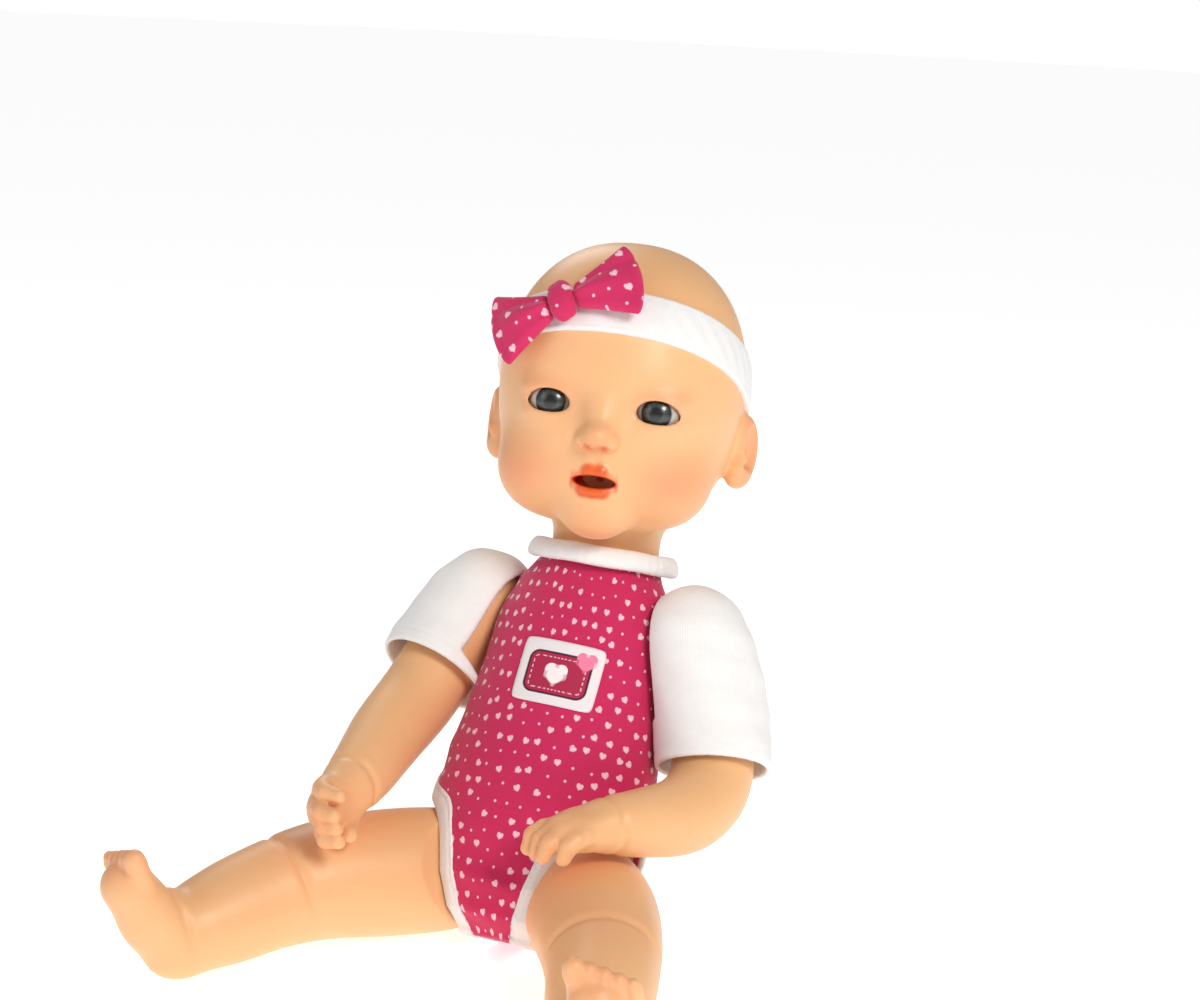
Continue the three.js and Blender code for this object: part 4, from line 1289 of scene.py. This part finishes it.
@dataclass
class Arm:
    """One vinyl arm with its hand, and the white sleeve round its top."""

    word: str
    side: int
    keys: list
    reach: tuple
    curl: tuple
    bend: float
    cover: float
    sleeve_length: float
    step: float = 0.7

    def __post_init__(self) -> None:
        """Works out the arm's line and the hand's directions."""
        self.line = smooth_path(self.keys, 4)
        self.wrist = np.array(self.keys[-1][:3], float)
        self.forward = np.array(self.reach, float) / np.linalg.norm(self.reach)
        inward = np.array(self.curl, float) - self.forward * np.dot(self.curl, self.forward)
        self.inward = inward / np.linalg.norm(inward)
        self.across = -np.cross(self.forward, self.inward)

    def at(self, a: float, c: float, i: float, r: float) -> tuple:
        """Returns a point of the hand with its radius."""
        return (*(self.wrist + self.forward * a + self.across * c + self.inward * i), r)

    def fingers(self) -> list:
        """Returns the four fingers and the thumb as chains.

        Returns:
            The points, in order.
        """
        found = []
        for f in range(4):
            c, long = 6.6 - 4.3 * f, 0.8 if f == 3 else 1.0
            tip = 22 * long + 2 - 0.3 * self.bend
            found.append([self.at(12, c, 0, 3.1), self.at(16 * long + 2, c * 1.03, 0.7, 2.9),
                          self.at(20 * long + 1.5, c * 1.03, 1 + 0.5 * self.bend, 2.75),
                          self.at(tip, c, 3.6 + self.bend, 2.35)])
        found.append([self.at(4, 6, 1, 3.8), self.at(10, 9, 4, 3.1), self.at(14, 8.6, 7, 2.6)])
        return found

    def field(self, p: Array) -> Array:
        """Returns the distance to the arm.

        Args:
            p: Points, in millimetres.

        Returns:
            One value or row for each point.
        """
        v = chain(p, self.line, 3.0)
        palm = chain(p, [self.at(0, 0, 0, 7.5), self.at(8, 0.4, 0, 8.0),
                         self.at(14, 0.4, 1, 6.9)], 2)
        slab = np.abs((p - self.wrist) @ self.inward - 0.5) - 6.2
        v = smooth_join(v, smooth_cut(palm, -slab, 3), 4)
        wrist = np.abs((p - self.wrist) @ self.forward + 1.0)
        v = v + 0.6 * np.exp(-(wrist / 1.3) ** 2)
        digits = np.full(v.shape, 99.0)
        for finger in self.fingers():
            digits = smooth_join(digits, chain(p, finger, 1.2), 0.6)
        v = smooth_join(v, digits, 2.0)
        d, far = shoulder_parts(p, self.side)
        return smooth_cut(v, np.maximum(d - 28.6, far - 26.5), 1.0)

    def sleeve(self, p: Array) -> Array:
        """Returns the distance to the sleeve.

        Args:
            p: Points, in millimetres.

        Returns:
            One value or row for each point.
        """
        full = smooth_path(self.keys, 10)
        count = int(round(self.cover * 10))
        keys = full[:count + 1]
        radii = np.interp(np.linspace(0, 1, len(keys)), (0, 0.55, 1), (15.9, 16.5, 16.8))
        keys = [(*k[:3], r) for k, r in zip(keys, radii)]
        end = np.array(keys[-1][:3])
        way = end - np.array(keys[-3][:3])
        way = way / np.linalg.norm(way)
        stretched = keys[:: max(1, len(keys) // 6)] + [(*(end + way * 4), radii[-1])]
        line = chain(p, stretched, 5.0)
        q = p - end
        along_arm = q @ way
        side = np.cross(way, (0.1, 0.2, 1.0))
        side = side / np.linalg.norm(side)
        angle = np.arctan2(q @ np.cross(way, side), q @ side)
        folds = 0.35 * np.sin(5 * angle + 0.25 * along_arm) + 0.25 * np.sin(0.55 * along_arm
                                                                         + 2 * np.sin(angle))
        cut_near, far = shoulder_parts(p, self.side)
        cut_near = np.maximum(cut_near - 28.5, far - 27)
        folds = folds * np.clip(np.abs(cut_near) / 6, 0, 1) * np.clip(-along_arm / 5, 0.15, 1)
        outer = line - 0.5 * folds
        hem = 0.28 * np.clip(1 - np.abs(along_arm + 4.3) / 0.5, 0, 1)
        shell = np.maximum(outer + hem, -(outer + 1.6))
        v = smooth_cut(shell, -along_arm, 0.7)
        return smooth_cut(v, cut_near, 0.8)

    def build(self) -> None:
        """Builds the arm, the sleeve and the hem's stitches."""
        body = f"arm_{self.word}"
        everything = np.array(self.line + [k for f in self.fingers() for k in f])
        low = (everything[:, :3] - everything[:, 3:]).min(0) - 2
        high = (everything[:, :3] + everything[:, 3:]).max(0) + 2
        points, quads = mesh_field(body, self.field, tuple(low), tuple(high), self.step)
        obj = new_mesh(body + "_vinyl", points, quads)
        near = np.linalg.norm(points - np.array(self.at(20, 0, 3, 0)[:3]), axis=1)
        set_value(obj, "blush", 0.28 * np.exp(-(near / 9) ** 2))
        finish_piece(obj, VINYL, "vinyl", body, body)
        top = np.array(smooth_path(self.keys, 10)[:int(round(self.cover * 10)) + 1])
        low, high = top[:, :3].min(0) - 21, top[:, :3].max(0) + 21
        points, quads = mesh_field("sleeve", self.sleeve, tuple(low), tuple(high), 0.8)
        obj = new_mesh(f"sleeve_{self.word}_jersey", points, quads)
        end = top[-1, :3]
        way = end - top[-3, :3]
        way = way / np.linalg.norm(way)
        side = np.cross(way, (0.1, 0.2, 1.0))
        side = side / np.linalg.norm(side)
        up = np.cross(way, side)

        def flat(p: Array) -> Array:
            """Returns the sleeve's own coordinates, in millimetres."""
            q = p - end
            return np.stack([np.arctan2(q @ up, q @ side) * 15, q @ way], -1)

        cloth_uv(obj, flat)
        finish_piece(obj, WHITE, "white_cloth", body, f"sleeve_{self.word}")
        turns = np.linspace(0, math.tau, 145)[:-1]
        ring = end - way * 4.3
        rays = np.outer(np.cos(turns), side) + np.outer(np.sin(turns), up)
        far = np.full(len(turns), 14.5)
        for _ in range(40):
            value = self.sleeve(ring + rays * (far + 2.0)[:, None])
            far += np.clip(value, -0.5, 0.5) * -0.5
        seam = ring + rays * (far + 2.0)[:, None]
        seam = seam + rays * 0.05
        stitches = along(f"hem_stitches_{self.word}", seam, THREAD, closed=True,
                         Spacing=0.0019, Length=0.0013, Radius=0.00016)
        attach(stitches, body)


@dataclass
class Leg:
    """One bent vinyl leg with its foot and toes."""

    word: str
    side: int
    step: float = 0.9

    def keys(self) -> list:
        """Returns the leg's centre line with its radii."""
        s = self.side
        return [(22 * s, -2, 20, 17.6), (36 * s, -20, 21, 18.2), (49 * s, -40, 21.5, 16.5),
                (58 * s, -56, 19, 14.4), (64 * s, -70, 16, 13.2), (69 * s, -84, 13.5, 10.6)]

    def toes(self) -> list:
        """Returns each toe as a chain.

        Returns:
            The points, in order.
        """
        s, found = self.side, []
        for i in range(5):
            x, y, z, r = 73 + 3.6 * i, -103.5 + 1.9 * i, 40.5 - 1.1 * i, 3.5 - 0.3 * i
            found.append([(x * s, y + 4, z - 7, r), (x * s, y + 0.6, z - 1.0, r * 0.95),
                          (x * s, y - 0.2, z + 0.8, r * 0.9)])
        return found

    def field(self, p: Array) -> Array:
        """Returns the distance to the leg.

        Args:
            p: Points, in millimetres.

        Returns:
            One value or row for each point.
        """
        s = self.side
        v = chain(p, smooth_path(self.keys(), 3), 5.0)
        foot = chain(p, [(70 * s, -87, 10.6, 10.2), (74 * s, -93, 20, 9.2),
                         (78.4 * s, -99.6, 31, 8.0)], 4)
        ankle = np.array([70 * s, -86, 12])
        v = smooth_join(v, foot, 5)
        knee = np.array([55 * s, -50, 20])
        way = np.array([0.45 * s, -0.85, -0.2]) / np.linalg.norm([0.45, 0.85, 0.2])
        v = v + 0.9 * np.exp(-(((p - knee) @ way) / 1.5) ** 2) * np.clip((p[..., 2] - 16) / 8, 0, 1)
        v = v + 0.7 * np.exp(-(((p - ankle) @ way) / 1.4) ** 2) * np.clip((p[..., 2] - 6) / 8, 0, 1)
        digits = np.full(v.shape, 99.0)
        for toe in self.toes():
            digits = smooth_join(digits, chain(p, toe, 1.0), 0.5)
        v = smooth_join(v, digits, 1.6)
        axis = np.array([s * math.cos(math.radians(16)), 0, -math.sin(math.radians(16))])
        d, _ = axis_parts(p, HIP_ORIGIN, axis)
        v = np.maximum(v, 18.1 - d)
        return smooth_cut(v, p[..., 2] - 0.05, 2.0)

    def build(self) -> None:
        """Builds the leg."""
        body = f"leg_{self.word}"
        s = self.side
        low = (2, -116, -1) if s > 0 else (-98, -116, -1)
        high = (98, 20, 50) if s > 0 else (-2, 20, 50)
        points, quads = mesh_field(body, self.field, low, high, self.step)
        obj = new_mesh(body + "_vinyl", points, quads)
        toes = np.linalg.norm(points - np.array([80 * s, -102, 40]), axis=1)
        knee = np.linalg.norm(points - np.array([56 * s, -52, 32]), axis=1)
        set_value(obj, "blush", 0.3 * np.exp(-(toes / 11) ** 2) + 0.2 * np.exp(-(knee / 14) ** 2))
        finish_piece(obj, VINYL, "vinyl", body, body)


# ---- Headband and bow -----------------------------------------------------------------------

@dataclass
class Headband:
    """The white elastic band, the bow's two padded loops and its knot."""

    width: float = 14.5
    turn: float = -18.0
    seat: tuple = (0, -50.4, 0)
    tip: float = 24.5
    root: float = 3.4

    def __post_init__(self) -> None:
        """Works out the band's and the bow's frames."""
        band = Matrix.Translation(Vector((0, 3, 64)) * MM) @ Matrix.Rotation(
            math.radians(-25), 4, "X")
        self.band_frame = HEAD @ band
        self.bow_frame = (self.band_frame @ Matrix.Rotation(math.radians(self.turn), 4, "Z")
                          @ Matrix.Translation(Vector(self.seat) * MM)
                          @ Matrix.Rotation(math.radians(-22), 4, "Y"))

    def band(self, p: Array) -> Array:
        """Returns the distance from head-frame points to the band.

        Args:
            p: Points, in millimetres.

        Returns:
            One value or row for each point.
        """
        head = Head()
        tilt = math.radians(-25)
        q = p - np.array([0, 3, 64])
        across = q[..., 2] * math.cos(tilt) - q[..., 1] * math.sin(tilt)
        skull = head.skull(p)
        angle = np.arctan2(q[..., 0], -q[..., 1])
        ripple = 0.12 * np.sin(angle * 34 + across * 0.5) * np.clip(1 - np.abs(across) / 8, 0, 1)
        hem = 0.2 * np.clip(1 - np.abs(np.abs(across) - 5.6) / 0.45, 0, 1)
        shell = np.maximum(skull - 1.65 - ripple + hem, -(skull + 0.9))
        return smooth_cut(shell, self.width / 2 - np.abs(across), 0.9)

    def loop(self, p: Array, side: int) -> Array:
        """Returns the distance from bow-frame points to one loop, a flattened padded bag.

        Args:
            p: Points, in millimetres.
            side: 1 for the doll's left, -1 for its right.

        Returns:
            One value or row for each point.
        """
        t = math.radians(8 * side)
        x = side * (p[..., 0] * math.cos(t) + p[..., 1] * math.sin(t))
        y = p[..., 1] * math.cos(t) - p[..., 0] * math.sin(t) + 1.2
        z = p[..., 2]
        run = np.clip((x - self.root) / (self.tip - self.root), 0, 1)
        half = 4.0 + 10.2 * run ** 1.25
        deep = 1.7 + 2.0 * np.sin(np.clip(run * 1.15, 0, 1) * math.pi) ** 0.7
        lean = np.arctan2(z, x - self.root + 7)
        pleat = 0.85 * np.cos(lean * 12) * np.exp(-run * 1.1)
        a = np.abs(z / half)
        body = ((a ** 2.6 + np.abs(y / (deep + pleat)) ** 2.0 + 1e-9) ** (1 / 2.3) - 1)
        v = body * np.minimum(deep, half) * 0.8
        ends = np.abs(x + 0.012 * z ** 2 - (self.root + self.tip) / 2 - 0.6)
        ends = ends - (self.tip - self.root) / 2 - 0.6
        fold = 0.35 * np.exp(-((z - 2.0 - 0.18 * x) / 1.1) ** 2) * np.clip(run * 2, 0, 1)
        return smooth_cut(v + fold, -ends, 2.4)

    def knot(self, p: Array) -> Array:
        """Returns the distance from bow-frame points to the knot.

        Args:
            p: Points, in millimetres.

        Returns:
            One value or row for each point.
        """
        v = ellipsoid(p, (0, -1.4, 0), (5.0, 4.0, 7.0))
        box_like = np.abs(p[..., 0]) - 4.6
        v = smooth_cut(v, -box_like, 1.6)
        return v + 0.16 * np.cos(p[..., 0] * 1.5 + 0.2 * p[..., 2])

    def build(self) -> None:
        """Builds the band, the loops and the knot."""
        points, quads = mesh_field("headband", self.band, (-44, -50, 30), (44, 56, 100), 0.8)
        obj = new_mesh("headband_elastic", points, quads, HEAD)
        flat = local_mm(points @ np.array(HEAD)[:3, :3].T + np.array(HEAD)[:3, 3] / MM,
                        self.band_frame)
        uv = np.stack([np.arctan2(flat[:, 0], -flat[:, 1]) * 42, flat[:, 2]], -1)
        cloth_uv(obj, lambda p: uv)
        finish_piece(obj, SATIN, "white_cloth", "head", "headband")
        for side, word in ((1, "left"), (-1, "right")):
            low = (2, -11, -17) if side > 0 else (-28, -11, -17)
            high = (28, 8, 17) if side > 0 else (-2, 8, 17)
            points, quads = mesh_field("bow", lambda p, s=side: self.loop(p, s), low, high, 0.6)
            obj = new_mesh(f"bow_{word}_jersey", points, quads, self.bow_frame)
            uv_loop = points[:, [0, 2]] + np.array([40.0 * side, 0])
            cloth_uv(obj, lambda p, uv=uv_loop: uv)
            finish_piece(obj, BOW_CLOTH, "crimson", "head", f"bow_loop_{word}")
        points, quads = mesh_field("knot", self.knot, (-7, -8, -10), (7, 5, 10), 0.5)
        obj = new_mesh("bow_knot_jersey", points, quads, self.bow_frame)
        cloth_uv(obj, lambda p: points[:, [0, 2]])
        finish_piece(obj, BOW_CLOTH, "crimson", "head", "bow_knot")


# ---- The rest and the studio ----------------------------------------------------------------

class Side(Enum):
    """The two arms, as the size data of each."""

    LEFT = Arm("left", 1, [(37.5, 37, 98, 11.6), (45, 34, 80, 12), (52, 25, 58, 11.8),
                           (52, 8, 50.5, 11.2), (46, -10, 51, 9.4), (40, -22, 52.4, 7.5)],
               (-0.5, -0.85, -0.02), (0, 0, -1), 2, 1.88, 0.048)
    RIGHT = Arm("right", -1, [(-37.5, 37, 98, 11.6), (-43, 27, 85, 12), (-46, 10, 70, 11.8),
                              (-45, -10, 62, 11), (-42, -28, 56, 9.4), (-41, -38, 53, 7.8)],
                (0.02, -0.97, -0.2), (1, 0, 0.1), 5, 1.55, 0.034)


@dataclass
class Internals:
    """The hidden CAD pieces, which keep their own shapes."""

    def build(self) -> None:
        """Gives every remaining CAD piece a procedural finish."""
        made = {key: value.plain() for key, value in CAD_FINISHES.items()}
        made.update(vinyl=VINYL, white_cloth=WHITE, crimson=CRIMSON, label=LABEL, eye_white=EYE,
                    iris=EYE)
        for node in frame["nodes"].values():
            for i, old in enumerate(node.data.materials):
                key = old.name.split(".")[0] if old else "casing"
                if key not in made:
                    LOG.info("no finish for %s on %s", key, node.name)
                node.data.materials[i] = made.get(key, made["casing"])
            if not len(node.data.materials):
                node.data.materials.append(made["casing"])


@dataclass
class Studio:
    """The pale floor, the soft lights and the camera."""

    azimuth: float = 27.0
    elevation: float = 12.0
    distance: float = 0.86
    lens: float = 84.5
    target: tuple = (0.0165, 0.0081, 0.1435)
    roll: float = 3.0

    def light(self, name: str, place: tuple, size: float, power: float, colour: tuple) -> None:
        """Adds one soft area light aimed at the doll.

        Args:
            name: Its name.
            place: Where it stands, in metres.
            size: Its size across.
            power: Its power in watts.
            colour: Its colour.
        """
        data = bpy.data.lights.new(name, "AREA")
        data.shape, data.size, data.energy, data.color = "DISK", size, power, colour
        lamp = bpy.data.objects.new(name, data)
        lamp.location = place
        lamp.rotation_euler = (Vector(self.target) - Vector(place)).to_track_quat(
            "-Z", "Y").to_euler()
        bpy.context.scene.collection.objects.link(lamp)

    def build(self) -> None:
        """Builds the studio."""
        sides, points, faces = 24, [(0, 0, -0.0005)], []
        for i in range(sides):
            t = math.tau * i / sides
            points.append((6 * math.cos(t), 6 * math.sin(t), -0.0005))
            faces.append((0, 1 + i, 1 + (i + 1) % sides))
        mesh = bpy.data.meshes.new("floor")
        mesh.from_pydata(points, [], faces)
        floor = bpy.data.objects.new("floor", mesh)
        bpy.context.scene.collection.objects.link(floor)
        material, _, shader = Finish("white sweep", srgb(248, 248, 250), 0.7).start()
        shader.inputs["Emission Color"].default_value = (1, 1, 1, 1)
        shader.inputs["Emission Strength"].default_value = 0.64
        floor.data.materials.append(material)
        world = bpy.data.worlds.new("white room")
        world.use_nodes = True
        n = Nodes(world.node_tree)
        ray = n.add("ShaderNodeLightPath").outputs["Is Camera Ray"]
        background = world.node_tree.nodes["Background"]
        background.inputs[0].default_value = (1, 1, 1, 1)
        world.node_tree.links.new(n.math("MULTIPLY_ADD", ray, 0.66, 0.34), background.inputs[1])
        bpy.context.scene.world = world
        self.light("key", (0.86, -0.57, 0.8), 0.42, 8.5, (1, 0.97, 0.92))
        self.light("fill", (-0.5, -0.9, 0.5), 0.7, 1.4, (1, 0.97, 0.95))
        self.light("rim", (-0.6, 0.7, 0.7), 0.5, 2.2, (1, 1, 1))
        a, e = math.radians(self.azimuth), math.radians(self.elevation)
        toward = Vector((math.sin(a) * math.cos(e), -math.cos(a) * math.cos(e), math.sin(e)))
        data = bpy.data.cameras.new("camera")
        data.lens, data.sensor_width, data.clip_start = self.lens, 36.0, 0.01
        camera = bpy.data.objects.new("camera", data)
        camera.location = Vector(self.target) + toward * self.distance
        turn = (-toward).to_track_quat("-Z", "Y").to_matrix().to_4x4()
        turn = turn @ Matrix.Rotation(math.radians(self.roll), 4, "Z")
        camera.rotation_euler = turn.to_euler()
        bpy.context.scene.collection.objects.link(camera)
        bpy.context.scene.camera = camera
        bpy.context.scene.view_settings.view_transform = "Standard"


def main() -> None:
    """Builds the whole doll and its studio."""
    logging.basicConfig(level=logging.INFO)
    Internals().build()
    Head().build()
    for word in ("left", "right"):
        Eye(word).build()
    Bodysuit().build()
    for side in Side:
        side.value.build()
    Leg("left", 1).build()
    Leg("right", -1).build()
    Headband().build()
    Studio().build()


if __name__ == "__main__":
    main()
